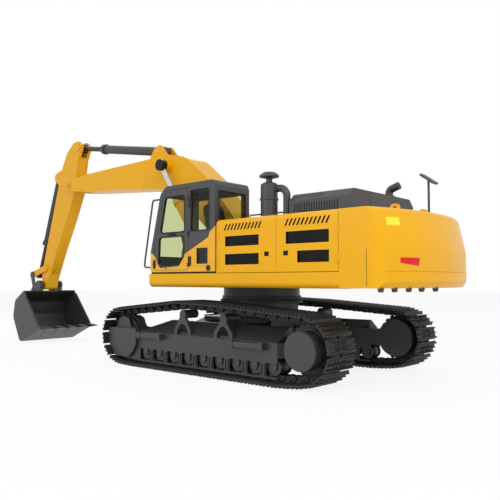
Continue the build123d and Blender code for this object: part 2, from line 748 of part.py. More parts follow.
# Engine hood: a shell over the housing's opening, with rows of slots in its sides and bevels
hood_bottom = roof_z + contact_gap
hood_top = 3035
bevel_run = 130
bevel_z = 2910
slot_width = 16
side_slots = (-2430, 48, 18, 2785, 150)
bevel_slots = (-2110, 52, 12, 2975, 100)
with BuildPart() as engine_hood:
    with BuildSketch(Plane.YZ.offset(hood_x[0])):
        draw([
            (-hood_half_width, hood_bottom, 0), (hood_half_width, hood_bottom, 0),
            (hood_half_width, bevel_z, 40), (hood_half_width - bevel_run, hood_top, 50),
            (-hood_half_width + bevel_run, hood_top, 50), (-hood_half_width, bevel_z, 40),
        ])
    extrude(amount=hood_x[1] - hood_x[0])
    with BuildSketch(Plane.YZ.offset(hood_x[0] + 25)):
        draw([
            (-hood_half_width + 25, hood_bottom - 1, 0), (hood_half_width - 25, hood_bottom - 1, 0),
            (hood_half_width - 25, bevel_z - 15, 20), (hood_half_width - bevel_run - 10, hood_top - 25, 30),
            (-hood_half_width + bevel_run + 10, hood_top - 25, 30),
            (-hood_half_width + 25, bevel_z - 15, 20),
        ])
    extrude(amount=hood_x[1] - hood_x[0] - 50, mode=Mode.SUBTRACT)
    first, pitch, count, z, height = side_slots
    for i in range(count):
        block((first + i * pitch, first + i * pitch + slot_width),
              (-hood_half_width - 1, -hood_half_width + 12),
              (z - height / 2, z + height / 2), Mode.SUBTRACT)
        block((first + i * pitch, first + i * pitch + slot_width),
              (hood_half_width - 12, hood_half_width + 1),
              (z - height / 2, z + height / 2), Mode.SUBTRACT)
    first, pitch, count, z, height = bevel_slots
    slope = degrees(atan2(hood_top - bevel_z, bevel_run))
    for side in (-1, 1):
        with Locations(*[Location((first + i * pitch, side * (hood_half_width - bevel_run / 2), z),
                                  (side * -slope, 0, 0))
                         for i in range(count)]):
            Box(slot_width, height, 24, mode=Mode.SUBTRACT)
    for y in hood_hinge_y:
        for end in (-1, 1):
            low, high = sorted((y + end * (knuckle_half + contact_gap), y + end * (knuckle_half + 35)))
            bar_y((hood_hinge_x, hood_hinge_z), knuckle_radius, low, high)
            block((hood_hinge_x, hood_x[0] + 1), (low, high), (hood_hinge_z - 5, hood_hinge_z + 5))
save(engine_hood, "engine_hood")

# Exhaust stack on the hood, bent to the rear
exhaust_xy = (-2480, -470)
exhaust_bend_x = exhaust_xy[0] - 190
exhaust_top = hood_top + 195
with BuildPart() as exhaust_pipe:
    with BuildLine():
        FilletPolyline((*exhaust_xy, hood_top), (*exhaust_xy, hood_top + 130),
                       (exhaust_bend_x, exhaust_xy[1],
                       exhaust_top), radius=80)
    with BuildSketch(Plane.XY.offset(hood_top)):
        with Locations(exhaust_xy):
            Circle(65)
    sweep()
    with Locations((*exhaust_xy, hood_top + 15)):
        Cylinder(95, 30)
save(exhaust_pipe, "exhaust_pipe")

# Air cleaner with its mushroom pre-cleaner and its elbow duct to the hood side
cleaner_xy = (-1050, roof_edge_y - 364)
duct_y = cleaner_xy[1] - 50
with BuildPart() as air_cleaner:
    with BuildSketch(Plane.XZ.offset(-cleaner_xy[1])):
        draw([
            (cleaner_xy[0], roof_z, 0), (cleaner_xy[0] + 145, roof_z, 0), (cleaner_xy[0] + 145, 2960, 0),
            (cleaner_xy[0] + 158, 2965, 0), (cleaner_xy[0] + 158, 3000, 0), (cleaner_xy[0] + 145, 3005, 0),
            (cleaner_xy[0] + 145, 3235, 0), (cleaner_xy[0] + 110, 3262, 0), (cleaner_xy[0] + 55, 3266, 0),
            (cleaner_xy[0] + 55, 3335, 0), (cleaner_xy[0] + 168, 3360, 8), (cleaner_xy[0] + 168, 3390, 12),
            (cleaner_xy[0] + 110, 3440, 40), (cleaner_xy[0], 3448, 0),
        ])
    revolve(axis=Axis((cleaner_xy[0], cleaner_xy[1], 0), (0, 0, 1)))
    with BuildLine(mode=Mode.PRIVATE) as duct:
        FilletPolyline((cleaner_xy[0] - 60, duct_y, 3160), (cleaner_xy[0] - 340, duct_y, 3160),
                       (cleaner_xy[0] - 340, duct_y, roof_z), radius=150)
    with BuildSketch(Plane.YZ.offset(cleaner_xy[0] - 60)):
        with Locations((duct_y, 3160)):
            Circle(62)
    sweep(path=duct.edges())
save(air_cleaner, "air_cleaner")

# Rear mirror on its pole
mirror_xy = (-2880, 350 - deck_half_width)
with BuildPart() as rear_mirror:
    with Locations(Location((mirror_xy[0] - 5, mirror_xy[1], 3400), (0, -36, 0))):
        Box(300, 220, 40)
    fillet(rear_mirror.edges().sort_by(SortBy.LENGTH)[:4], 15)
    with Locations((*mirror_xy, (2650 + 3385) / 2)):
        Cylinder(20, 3385 - 2650)
save(rear_mirror, "rear_mirror")

# Right side tanks and tool box
tank_inner_y = -centre_bay_y - 10
with BuildPart() as hydraulic_tank:
    block((door_seam_x + 25, -660), (-deck_half_width, tank_inner_y), (deck_top_z, 2640))
    fillet(hydraulic_tank.edges().filter_by(Axis.X).group_by(Axis.Z)[-1], 60)
save(hydraulic_tank, "hydraulic_tank")
with BuildPart() as fuel_tank:
    block((-650, 450), (-deck_half_width, tank_inner_y), (deck_top_z, 2560))
    fillet(fuel_tank.edges().filter_by(Axis.X).group_by(Axis.Z)[-1], 60)
save(fuel_tank, "fuel_tank")
tool_box_inner_y = -800
tool_box_front_x = deck_front_x - 35
with BuildPart() as tool_box:
    with BuildSketch(side_plane(tool_box_inner_y)):
        draw([
            (460, deck_top_z, 0), (tool_box_front_x, deck_top_z, 0), (tool_box_front_x, 1990, 30),
            (1190, 1990, 10),
            (1190, 2230, 30), (830, 2230, 10), (830, 2480, 30), (460, 2480, 0),
        ])
    extrude(amount=deck_half_width + tool_box_inner_y)
save(tool_box, "tool_box")

# Cab side outline: x, z, corner radius
cab_rows = [
    (cab_rear_x, cab_floor_z, 0), (1505, cab_floor_z, 60), (1500, 2150, 200), (1225, 3240, 160),
    (1060, cab_roof_z, 90), (cab_rear_x + 40, cab_roof_z, 60), (cab_rear_x, 3270, 60),
]


def inset_cab(depth):
    # The cab outline drawn in by a depth.
    draw(cab_rows)
    offset(amount=-depth, kind=Kind.INTERSECTION, mode=Mode.REPLACE)


# Window openings of the cab: low and high x, y, z
front_window = ((1130, 1600), (720, 1400), (2080, 3180))
rear_window = ((-300, -150), (720, 1400), (2640, 3180))
right_window = ((-60, 1120), (cab_inner_y - 20, cab_inner_y + 80), (2330, 3190))
quarter_window = ((-80, 385), (cab_outer_y - 80, cab_outer_y + 20), (2500, 3230))
cab_windows = [front_window, rear_window, right_window, quarter_window]
vent_box = ((-50, 230), (1910, 2190))
vent_slats = 9
cab_door_rows = [
    (455, 1812, 30), (1400, 1812, 30), (1392, 2160, 200), (1155, 3150, 110), (1040, 3285, 60),
    (455, 3285, 30),
]
with BuildPart() as cab_shell:
    with BuildSketch(side_plane(cab_outer_y)):
        draw(cab_rows)
    extrude(amount=cab_outer_y - cab_inner_y)
    with BuildSketch(side_plane(cab_outer_y - cab_wall)):
        inset_cab(cab_wall)
    extrude(amount=cab_outer_y - cab_inner_y - 2 * cab_wall, mode=Mode.SUBTRACT)
    for x, y, z in cab_windows:
        block(x, y, z, Mode.SUBTRACT)
    block(vent_box[0], (cab_outer_y - 30, cab_outer_y + 1), vent_box[1], Mode.SUBTRACT)
    for i in range(1, vent_slats):
        slat_z = vent_box[1][0] + i * (vent_box[1][1] - vent_box[1][0]) / vent_slats
        block(vent_box[0], (cab_outer_y - 31, cab_outer_y - 8), (slat_z - 4, slat_z + 4))
    with BuildSketch(side_plane(cab_outer_y + 1)):
        draw(cab_door_rows)
        offset(amount=panel_gap, mode=Mode.REPLACE)
    extrude(amount=cab_wall + 2, mode=Mode.SUBTRACT)
    for x in (-100, 1300):
        for y in (cab_inner_y + 120, cab_outer_y - 120):
            with Locations((x, y, (deck_top_z + cab_floor_z) / 2)):
                Cylinder(60, cab_floor_z - deck_top_z)
save(cab_shell, "cab_shell")

# Cab glass: panes inside the window openings
with BuildPart() as cab_glass:
    with BuildSketch(side_plane(cab_outer_y - 60)):
        inset_cab(glass_depth)
        with BuildSketch(mode=Mode.PRIVATE) as pane_inside:
            inset_cab(glass_depth + glass_thickness)
        add(pane_inside.sketch, mode=Mode.SUBTRACT)
    extrude(amount=cab_outer_y - cab_inner_y - 120)
    with BuildPart(mode=Mode.PRIVATE) as pane_zone:
        for x, y, z in (front_window, rear_window):
            block(x, (y[0] + contact_gap, y[1] - contact_gap), (z[0] + contact_gap, z[1] - contact_gap))
    add(pane_zone.part, mode=Mode.INTERSECT)
    for window, y in ((right_window, cab_inner_y + glass_depth),
                      (quarter_window, cab_outer_y - glass_depth - glass_thickness)):
        x, _, z = window
        block((x[0] + contact_gap, x[1] - contact_gap), (y, y + glass_thickness),
              (z[0] + contact_gap, z[1] - contact_gap))
save(cab_glass, "cab_glass")

# Cab door with two panes
cab_hinge_x = 451
door_panes = [((545, 1170), (2500, 3165)), ((560, 1230), (1900, 2420))]
with BuildPart() as cab_door:
    with BuildSketch(side_plane(cab_outer_y)):
        draw(cab_door_rows)
        draw_windows = [
            [(545, 2500, 40), (1225, 2500, 60), (1075, 3165, 80), (545, 3165, 60)],
            [(560, 2060, 60), (700, 1890, 60), (1270, 1890, 60), (1250, 2420, 60), (560, 2420, 60)],
        ]
        with BuildSketch(mode=Mode.PRIVATE) as openings:
            for rows in draw_windows:
                draw(rows)
        add(openings.sketch, mode=Mode.SUBTRACT)
    extrude(amount=cab_wall)
    door_knuckles(cab_hinge_x, 1, 40, cab_hinge_heights)
save(cab_door, "cab_door")
with BuildPart() as door_hinges:
    fixed_knuckles(door_hinge_x["left_front_door"], 1, 30, door_hinge_heights)
    fixed_knuckles(door_hinge_x["left_rear_door"], 1, -45, door_hinge_heights)
    fixed_knuckles(door_hinge_x["right_rear_door"], -1, -45, door_hinge_heights)
    fixed_knuckles(cab_hinge_x, 1, -45, cab_hinge_heights)
    for y in hood_hinge_y:
        bar_y((hood_hinge_x, hood_hinge_z), knuckle_radius, y - knuckle_half, y + knuckle_half)
        block((hood_hinge_x - 60, hood_hinge_x), (y - knuckle_half, y + knuckle_half),
              (roof_z, roof_z + leaf_thickness))
save(door_hinges, "door_hinges")
with BuildPart() as cab_door_glass:
    with BuildSketch(side_plane(cab_outer_y - glass_depth)):
        for rows in draw_windows:
            with BuildSketch(mode=Mode.PRIVATE) as pane:
                draw(rows)
                offset(amount=-contact_gap, mode=Mode.REPLACE)
            add(pane.sketch)
    extrude(amount=glass_thickness)
save(cab_door_glass, "cab_door_glass")

# Operator seat and consoles on the cab floor
cab_floor_top = cab_floor_z + cab_wall
seat_y = (cab_inner_y + cab_outer_y) / 2
with BuildPart() as operator_seat:
    with BuildSketch(side_plane(seat_y + 250)):
        draw([
            (180, 2270, 40), (720, 2290, 60), (730, 2400, 50), (310, 2400, 30), (160, 3020, 50),
            (50, 3010, 50),
            (120, 2400, 60),
        ])
    extrude(amount=500)
    block((250, 600), (seat_y - 170, seat_y + 170), (cab_floor_top, 2280))
save(operator_seat, "operator_seat")
with BuildPart() as control_consoles:
    for y in (seat_y - 345, seat_y + 265):
        with BuildSketch(side_plane(y + 80)):
            draw([(180, cab_floor_top, 0), (560, cab_floor_top, 0), (760, 2460, 40), (740, 2530, 20),
                  (180, 2500, 30)])
        extrude(amount=80)
save(control_consoles, "control_consoles")

# Boom: a bent box with a forked nose
boom_slot_x = 5690
boom_rows = [
    (boom_foot[0] - 190, boom_foot[1] - 195, 180), (boom_foot[0] + 200, boom_foot[1] - 170, 180),
    (2260, 3590, 500), (3480, 3710, 900), (5590, 3865, 300), (boom_tip[0] - 60, boom_tip[1] - 150, 100),
    (boom_tip[0] + 165, boom_tip[1] - 90, 110), (boom_tip[0] + 130, boom_tip[1] + 130, 130),
    (5600, 4300, 300), (2890, 4350, 600), (2480, 4375, 500), (1870, 4235, 600), (1190, 3690, 900),
    (boom_foot[0] - 210, boom_foot[1] + 150, 180),
]
with BuildPart() as boom:
    with BuildSketch(side_plane(boom_half_width)):
        draw(boom_rows)
    extrude(amount=2 * boom_half_width)
    bar_y(boom_foot, 185, -boom_foot_half_width, boom_foot_half_width)
    bar_y(boom_foot, 70, -girder_outer_y - 15, girder_outer_y + 15)
    bar_y(boom_cylinder_eye, 140, -boom_cylinder_y + eye_half_width + pin_gap,
          boom_cylinder_y - eye_half_width - pin_gap)
    block((boom_slot_x, boom_tip[0] + 300), (-boom_nose_slot, boom_nose_slot), (3500, 4600), Mode.SUBTRACT)
    for low in (-175, 135):
        with BuildSketch(side_plane(low + 40)):
            draw([
                (arm_cylinder_foot[0] - 420, 4300, 0), (arm_cylinder_foot[0] + 330, 4300, 0),
                (arm_cylinder_foot[0] + 120, arm_cylinder_foot[1] + 60, 100),
                (arm_cylinder_foot[0] - 90, arm_cylinder_foot[1] + 130, 90),
            ])
        extrude(amount=40)
    bar_y(boom_tip, 75, -boom_half_width - 22, boom_half_width + 22)
    for low in (-boom_half_width - 12, boom_nose_slot):
        bar_y(boom_tip, 122, low, low + boom_half_width + 12 - boom_nose_slot)
    for low in (-boom_half_width - 12, boom_half_width):
        bar_y(boom_cylinder_eye, 165, low, low + 12)
    bar_y(arm_cylinder_foot, 60, -135, 135)
save(boom, "boom")

# Cylinders: foot bush, barrel and gland on one part, rod and eye on the other


def barrel(foot, eye, y, radius, length, bush_half):
    # Barrel of a cylinder in the current part, with a bored foot bush.
    bar_y(foot, radius + 15, y - bush_half, y + bush_half)
    rod_between(foot, eye, y, radius, 0, length)
    rod_between(foot, eye, y, radius + 22, length - 110, length)
    rod_between(foot, eye, y, radius * rod_share + contact_gap, radius + 40, length + 1, Mode.SUBTRACT)


def rod(foot, eye, y, radius, inner_end, eye_radius, eye_half):
    # Rod of a cylinder in the current part from its inner end, with its solid eye.
    rod_between(foot, eye, y, radius, inner_end, span(foot, eye))
    bar_y(eye, eye_radius, y - eye_half, y + eye_half)


boom_barrel_length = 1960
rod_end_room = 60
boom_retraction = 730
arm_retraction = 730
bucket_retraction = 730
with BuildPart() as boom_cylinder_barrels:
    for y in (-boom_cylinder_y, boom_cylinder_y):
        barrel(boom_cylinder_foot, boom_cylinder_eye, y, boom_barrel_radius, boom_barrel_length, 75)
    for y in (-boom_cylinder_y, boom_cylinder_y):
        bar_y(boom_cylinder_foot, 55, y - 125, y + 125)
save(boom_cylinder_barrels, "boom_cylinder_barrels")
with BuildPart() as boom_cylinder_rods:
    for y in (-boom_cylinder_y, boom_cylinder_y):
        rod(boom_cylinder_foot, boom_cylinder_eye, y, boom_barrel_radius * rod_share,
            boom_barrel_radius + rod_end_room + boom_retraction, 125, eye_half_width)
save(boom_cylinder_rods, "boom_cylinder_rods")

arm_barrel_length = 2340
with BuildPart() as arm_cylinder_barrel:
    barrel(arm_cylinder_foot, arm_cylinder_eye, 0, arm_barrel_radius, arm_barrel_length, 125)
    bar_y(arm_cylinder_foot, 60 + contact_gap, -130, 130, Mode.SUBTRACT)
save(arm_cylinder_barrel, "arm_cylinder_barrel")
with BuildPart() as arm_cylinder_rod:
    rod(arm_cylinder_foot, arm_cylinder_eye, 0, arm_barrel_radius * rod_share,
        arm_barrel_radius + rod_end_room + arm_retraction, 120, 72)
save(arm_cylinder_rod, "arm_cylinder_rod")

# Arm: a tapering box with ears for both its cylinders
arm_rows = [
    (6010, 5130, 60), (6180, 5270, 90), (6420, 5245, 150), (6720, 5020, 200), (6900, 4720, 300),
    (7060, 4330, 300),
    (7700, 2440, 500), (7890, 1850, 200), (bucket_pin[0] + 125, bucket_pin[1] - 125, 124),
    (bucket_pin[0] - 108, bucket_pin[1] - 125, 108), (7550, 1690, 300), (7142, 2476, 0), (6693, 3234, 500),
    (6318, 3952, 300), (6250, 4484, 400), (6190, 4800, 0),
]
ear_slot = 85
with BuildPart() as arm:
    with BuildSketch(side_plane(arm_half_width)):
        draw(arm_rows)
    extrude(amount=2 * arm_half_width)
    block((5800, 6440), (-ear_slot, ear_slot), (4850, 5400), Mode.SUBTRACT)
    for low in (-130, 90):
        with BuildSketch(side_plane(low + 40)):
            draw([
                (6860, 4640, 0), (bucket_cylinder_foot[0] - 60, bucket_cylinder_foot[1] + 110, 90),
                (bucket_cylinder_foot[0] + 100, bucket_cylinder_foot[1] + 30, 95),
                (bucket_cylinder_foot[0] + 30, bucket_cylinder_foot[1] - 120, 90), (7080, 4160, 0),
                (6950, 4160, 0),
            ])
        extrude(amount=40)
    bar_y(bucket_cylinder_foot, 50, -90, 90)
    bar_y(bucket_pin, 125, -arm_tip_half_width, arm_tip_half_width)
    bar_y(rocker_pin, 95, contact_gap - rocker_inner_y, rocker_inner_y - contact_gap)
    bar_y(boom_tip, 75 + contact_gap, -arm_half_width - 1, arm_half_width + 1, Mode.SUBTRACT)
    for low in (-arm_half_width - 35, arm_half_width):
        bar_y(arm_cylinder_eye, 95, low, low + 35)
save(arm, "arm")

bucket_barrel_length = 1950
with BuildPart() as bucket_cylinder_barrel:
    barrel(bucket_cylinder_foot, link_pin, 0, bucket_barrel_radius, bucket_barrel_length, 80)
    bar_y(bucket_cylinder_foot, 50 + contact_gap, -95, 95, Mode.SUBTRACT)
save(bucket_cylinder_barrel, "bucket_cylinder_barrel")
with BuildPart() as bucket_cylinder_rod:
    rod(bucket_cylinder_foot, link_pin, 0, bucket_barrel_radius * rod_share,
        bucket_barrel_radius + rod_end_room + bucket_retraction, 105, 80)
save(bucket_cylinder_rod, "bucket_cylinder_rod")


def link_plate(first, second, radius):
    # Plate outline in the current sketch: two round ends and the straight bar between them.
    ux, uz = (second[0] - first[0]) / span(first, second), (second[1] - first[1]) / span(first, second)
    for centre in (first, second):
        with Locations(centre):
            Circle(radius)
    waist = radius * 0.82
    draw([
        (first[0] - uz * waist, first[1] + ux * waist, 0),
        (second[0] - uz * waist, second[1] + ux * waist, 0),
        (second[0] + uz * waist, second[1] - ux * waist, 0),
        (first[0] + uz * waist, first[1] - ux * waist, 0),
    ])


# Rocker links beside the arm, and the power links outside them
link_pin_radius = 50
with BuildPart() as rocker_links:
    for side in (-1, 1):
        outer = max(side * rocker_inner_y, side * (rocker_inner_y + link_plate_thickness))
        with BuildSketch(side_plane(outer)):
            link_plate(rocker_pin, link_pin, 95)
        extrude(amount=link_plate_thickness)
        bar_y(link_pin, link_pin_radius, *sorted((side * 92, side * (rocker_inner_y + 1))))
save(rocker_links, "rocker_links")
with BuildPart() as power_link:
    for side in (-1, 1):
        outer = max(side * power_link_inner_y, side * (power_link_inner_y + link_plate_thickness))
        with BuildSketch(side_plane(outer)):
            link_plate(link_pin, bucket_link_pin, 85)
            with Locations(bucket_link_pin):
                Circle(link_pin_radius + contact_gap, mode=Mode.SUBTRACT)
        extrude(amount=link_plate_thickness)
save(power_link, "power_link")

# Bucket: a curved shell between side plates, with ears over it
bucket_shell_rows = [
    (7750, 1350, 0), (8215, 1085, 130), (8310, 640, 230), (7940, 12, 130), (7800, 0, 20), (6860, 375, 0),
]
bucket_pin_radius = 60
with BuildPart() as bucket:
    with BuildSketch(side_plane(bucket_half_width)):
        draw(bucket_shell_rows)
    extrude(amount=2 * bucket_half_width)
    with BuildSketch(side_plane(bucket_half_width - bucket_wall)):
        draw([
            (7700, 1340, 0), (8190, 1055, 110), (8275, 645, 205), (7930, 48, 110), (7805, 38, 20),
            (6850, 412, 0),
            (6500, 600, 0),
        ])
    extrude(amount=2 * (bucket_half_width - bucket_wall), mode=Mode.SUBTRACT)
    for side in (-1, 1):
        with BuildSketch(side_plane(max(side * ear_inner_y, side * ear_outer_y))):
            draw([
                (bucket_pin[0] - 125, bucket_pin[1] - 165, 0),
                (bucket_pin[0] - 125, bucket_pin[1] + 120, 120),
                (bucket_pin[0] + 115, bucket_pin[1] + 125, 115),
                (bucket_link_pin[0] + 70, bucket_link_pin[1] + 110, 95),
                (bucket_link_pin[0] + 150, bucket_link_pin[1] - 110, 90), (8300, 800, 0), (8180, 1060, 0),
                (7760, 1325, 0),
            ])
        extrude(amount=ear_outer_y - ear_inner_y)
        bar_y(bucket_pin, 110, *sorted((side * ear_inner_y, side * (ear_outer_y + 25))))
        bar_y(bucket_pin, bucket_pin_radius,
              *sorted((side * (arm_tip_half_width + contact_gap), side * ear_outer_y)))
        bar_y(bucket_link_pin, 80, *sorted((side * ear_inner_y, side * (ear_outer_y + 20))))
        bar_y(bucket_link_pin, link_pin_radius,
              *sorted((side * (power_link_inner_y + 1), side * ear_outer_y)))
    block((7600, 7755), (-ear_inner_y, ear_inner_y), (1300, 1400), Mode.SUBTRACT)
save(bucket, "bucket")

# Bucket teeth on the lip: five tapered points
lip = (6862, 390)
tooth_count = 5
with BuildPart() as bucket_teeth:
    for i in range(tooth_count):
        y = -bucket_half_width + 80 + i * (2 * bucket_half_width - 160) / (tooth_count - 1)
        with BuildSketch(side_plane(y + 55)):
            draw([
                (lip[0] + 4, lip[1] - 42, 0), (lip[0] + 4, lip[1] + 48, 0), (lip[0] - 160, lip[1] + 45, 60),
                (lip[0] - 330, lip[1] + 20, 0), (lip[0] - 330, lip[1] + 5, 0),
            ])
        extrude(amount=110)
    with BuildPart(mode=Mode.PRIVATE) as bucket_body:
        add(bucket.part)
    add(bucket_body.part, mode=Mode.SUBTRACT)
save(bucket_teeth, "bucket_teeth")

# Handrails: round tube along the cab's front corner and the right steps
rail_radius = 17
rail_y = 1455
with BuildPart() as cab_handrail:
    with BuildLine():
        FilletPolyline((1480, rail_y, 1860), (1740, rail_y, 1875), (1725, rail_y, 2000),
                       (1500, rail_y, 3150),
                       (1200, rail_y, 3150), radius=45)
    with BuildSketch(Plane.YZ.offset(1480)):
        with Locations((rail_y, 1860)):
            Circle(rail_radius)
    sweep()
    add(cab_shell.part, mode=Mode.SUBTRACT)
    with BuildSketch(side_plane(cab_outer_y), mode=Mode.PRIVATE) as cab_side:
        inset_cab(cab_wall)
    extrude(cab_side.sketch, amount=cab_outer_y - cab_inner_y, mode=Mode.SUBTRACT)
save(cab_handrail, "cab_handrail")
with BuildPart() as step_handrails:
    for y in (30 - deck_half_width, tool_box_inner_y - 40):
        with BuildLine() as rail:
            FilletPolyline((1465, y, 1990), (1465, y, 2680), (1100, y, 3020), (-500, y, 3020),
                           (-500, y, 2560), radius=90)
        with BuildSketch(Plane.XY.offset(1990)):
            with Locations((1465, y)):
                Circle(rail_radius)
        sweep(path=rail.edges())
        with Locations((300, y, (2560 + 3020) / 2)):
            Cylinder(rail_radius, 3020 - 2560)
save(step_handrails, "step_handrails")
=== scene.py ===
# %% [markdown]
# # Crawler excavator in the studio
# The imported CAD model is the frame: its nodes keep their shapes and get procedural finishes here, and
# small pieces such as bolts, seals, pads and plates are added as surfaces worked out with numpy.
# Everything is in metres, +X forward along the boom, +Y to the cab side, +Z up.

# %% Load the frame
import json
import math

import bmesh
import bpy
import numpy as np
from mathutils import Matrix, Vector


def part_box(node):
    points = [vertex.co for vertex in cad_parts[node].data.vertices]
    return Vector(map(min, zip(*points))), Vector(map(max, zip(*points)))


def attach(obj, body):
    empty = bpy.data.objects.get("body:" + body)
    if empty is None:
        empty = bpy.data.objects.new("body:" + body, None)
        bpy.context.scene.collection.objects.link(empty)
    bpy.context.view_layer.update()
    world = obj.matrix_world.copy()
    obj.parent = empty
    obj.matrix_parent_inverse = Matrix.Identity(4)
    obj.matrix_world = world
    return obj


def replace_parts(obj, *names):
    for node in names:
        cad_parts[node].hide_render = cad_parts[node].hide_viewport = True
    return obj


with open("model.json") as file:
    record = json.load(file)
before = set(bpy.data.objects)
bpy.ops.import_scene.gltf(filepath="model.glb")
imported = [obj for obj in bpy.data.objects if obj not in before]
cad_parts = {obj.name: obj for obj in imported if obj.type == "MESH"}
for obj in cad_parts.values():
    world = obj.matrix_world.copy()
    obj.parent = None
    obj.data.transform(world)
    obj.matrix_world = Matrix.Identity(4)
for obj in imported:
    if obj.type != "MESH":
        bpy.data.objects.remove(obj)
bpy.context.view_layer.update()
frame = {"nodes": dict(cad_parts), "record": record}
nodes = frame["nodes"]

# %% [markdown]
# ## Camera
# The photograph looks at the machine from low behind its left rear corner. A camera can be placed by
# eye, but this one was solved from edges of known size, so its place and angles are plain numbers.

# %% Camera
camera_place = Vector((-7.4742, 8.7314, 1.6110))
yaw, pitch = -0.8432, 0.0517
focal_pixels, frame_pixels = 597.4, 500
heading = Vector((math.cos(yaw) * math.cos(pitch), math.sin(yaw) * math.cos(pitch), math.sin(pitch)))
camera_data = bpy.data.cameras.new("camera")
camera_data.sensor_width = 36
camera_data.lens = focal_pixels * camera_data.sensor_width / frame_pixels
camera_data.clip_start = 0.1
camera_data.clip_end = 300
camera = bpy.data.objects.new("camera", camera_data)
camera.location = camera_place
camera.rotation_mode = "QUATERNION"
camera.rotation_quaternion = heading.to_track_quat("-Z", "Y")
bpy.context.scene.collection.objects.link(camera)
bpy.context.scene.camera = camera
print("lens in millimetres:", round(camera_data.lens, 2))

# %% [markdown]
# ## Material helpers
# A node tree is wired with many short calls. A small class keeps them readable, and effects that more
# than one finish uses become node groups, built once and placed in each material with its own values.


# %% Material helpers
class Tree:
    """Short calls for building a material's node tree."""

    def __init__(self, tree):
        self.tree = tree

    def node(self, kind, **values):
        made = self.tree.nodes.new(kind)
        for key, value in values.items():
            if key in made.inputs:
                made.inputs[key].default_value = value
            else:
                setattr(made, key, value)
        return made

    def link(self, source, target):
        self.tree.links.new(source, target)

    def maths(self, operation, first, second=None, kind="ShaderNodeMath"):
        """A value from two others, each a number or a socket; the vector kind works on three at once."""
        made = self.node(kind, operation=operation)
        for socket, value in zip(made.inputs, (first, second)):
            if isinstance(value, (int, float)):
                socket.default_value = value
            elif value is not None:
                self.link(value, socket)
        return made.outputs[0]

    def blend(self, factor, first, second):
        """Colour that goes from first to second as factor goes from 0 to 1."""
        made = self.node("ShaderNodeMix", data_type="RGBA")
        self.link(factor, made.inputs["Factor"])
        for socket, value in ((made.inputs["A"], first), (made.inputs["B"], second)):
            if isinstance(value, tuple):
                socket.default_value = (*value, 1)
            else:
                self.link(value, socket)
        return made.outputs["Result"]


def new_group(name, inputs, outputs):
    group = bpy.data.node_groups.new(name, "ShaderNodeTree")
    for label, kind, value in inputs:
        socket = group.interface.new_socket(label, in_out="INPUT", socket_type=kind)
        socket.default_value = value
    for label, kind in outputs:
        group.interface.new_socket(label, in_out="OUTPUT", socket_type=kind)
    made = Tree(group)
    return group, made, made.node("NodeGroupInput").outputs, made.node("NodeGroupOutput").inputs


# %% [markdown]
# ## Studio
# The photograph is a cut-out on white. The world and the floor therefore show white to the camera, to
# reflections and through glass by the Light Path node, while the lamps and a dimmer world light the
# machine at a level at which a colour renders about as it is written. The floor keeps a soft shadow.

# %% White for what the camera sees
scene = bpy.context.scene
scene.view_settings.view_transform = "Standard"


def seen_by_eye(made):
    """1 for a camera ray, a glossy ray or a ray through glass, and 0 for light on the object."""
    path = made.node("ShaderNodeLightPath").outputs
    return made.maths("MAXIMUM", made.maths("MAXIMUM", path["Is Camera Ray"], path["Is Glossy Ray"]),
                      path["Is Transmission Ray"])


world_light = 0.62
world = bpy.data.worlds.new("world")
world.use_nodes = True
sky = Tree(world.node_tree)
plain_light = world.node_tree.nodes["Background"]
plain_light.inputs["Color"].default_value = (1, 1, 1, 1)
plain_light.inputs["Strength"].default_value = world_light
white_view = sky.node("ShaderNodeBackground", Color=(1, 1, 1, 1), Strength=1.0)
world_mix = sky.node("ShaderNodeMixShader")
sky.link(seen_by_eye(sky), world_mix.inputs["Fac"])
sky.link(plain_light.outputs[0], world_mix.inputs[1])
sky.link(white_view.outputs[0], world_mix.inputs[2])
sky.link(world_mix.outputs[0], world.node_tree.nodes["World Output"].inputs["Surface"])
scene.world = world

# %% [markdown]
# The floor is one large square under the tracks. Its paint alone would render grey, so the material mixes
# in plain white for what the camera, a reflection or a pane of glass sees, and the rest shows the shadow.

# %% Floor
floor_reach = 90
floor_white_share = 0.88
floor_mesh = bpy.data.meshes.new("floor")
floor_corners = [(x * floor_reach, y * floor_reach, 0) for x, y in ((-1, -1), (1, -1), (1, 1), (-1, 1))]
floor_mesh.from_pydata(floor_corners, [], [(0, 1, 2, 3)])
floor_object = bpy.data.objects.new("floor", floor_mesh)
scene.collection.objects.link(floor_object)
floor_finish = bpy.data.materials.new("floor_finish")
floor_finish.use_nodes = True
floor_tree = Tree(floor_finish.node_tree)
floor_paint = floor_finish.node_tree.nodes["Principled BSDF"]
floor_paint.inputs["Base Color"].default_value = (0.88, 0.88, 0.88, 1)
floor_paint.inputs["Roughness"].default_value = 0.7
floor_white = floor_tree.node("ShaderNodeEmission", Color=(1, 1, 1, 1), Strength=1.0)
floor_mix = floor_tree.node("ShaderNodeMixShader")
floor_share = floor_tree.maths("MULTIPLY", seen_by_eye(floor_tree), floor_white_share)
floor_tree.link(floor_share, floor_mix.inputs["Fac"])
floor_tree.link(floor_paint.outputs[0], floor_mix.inputs[1])
floor_tree.link(floor_white.outputs[0], floor_mix.inputs[2])
floor_tree.link(floor_mix.outputs[0], floor_finish.node_tree.nodes["Material Output"].inputs["Surface"])
floor_mesh.materials.append(floor_finish)
print("the floor reaches", floor_reach, "m to each side")

# %% [markdown]
# Three broad lamps give soft shadows, as in a photo studio: a key lamp from behind on the cab side, a fill
# from the cab side, and one from the front right that lights the far edges.


# %% Soft lamps
def area_light(name, place, target, size, power):
    data = bpy.data.lights.new(name, "AREA")
    data.shape = "RECTANGLE"
    data.size, data.size_y = size
    data.energy = power
    lamp = bpy.data.objects.new(name, data)
    lamp.location = place
    lamp.rotation_mode = "QUATERNION"
    lamp.rotation_quaternion = (Vector(target) - Vector(place)).to_track_quat("-Z", "Y")
    scene.collection.objects.link(lamp)


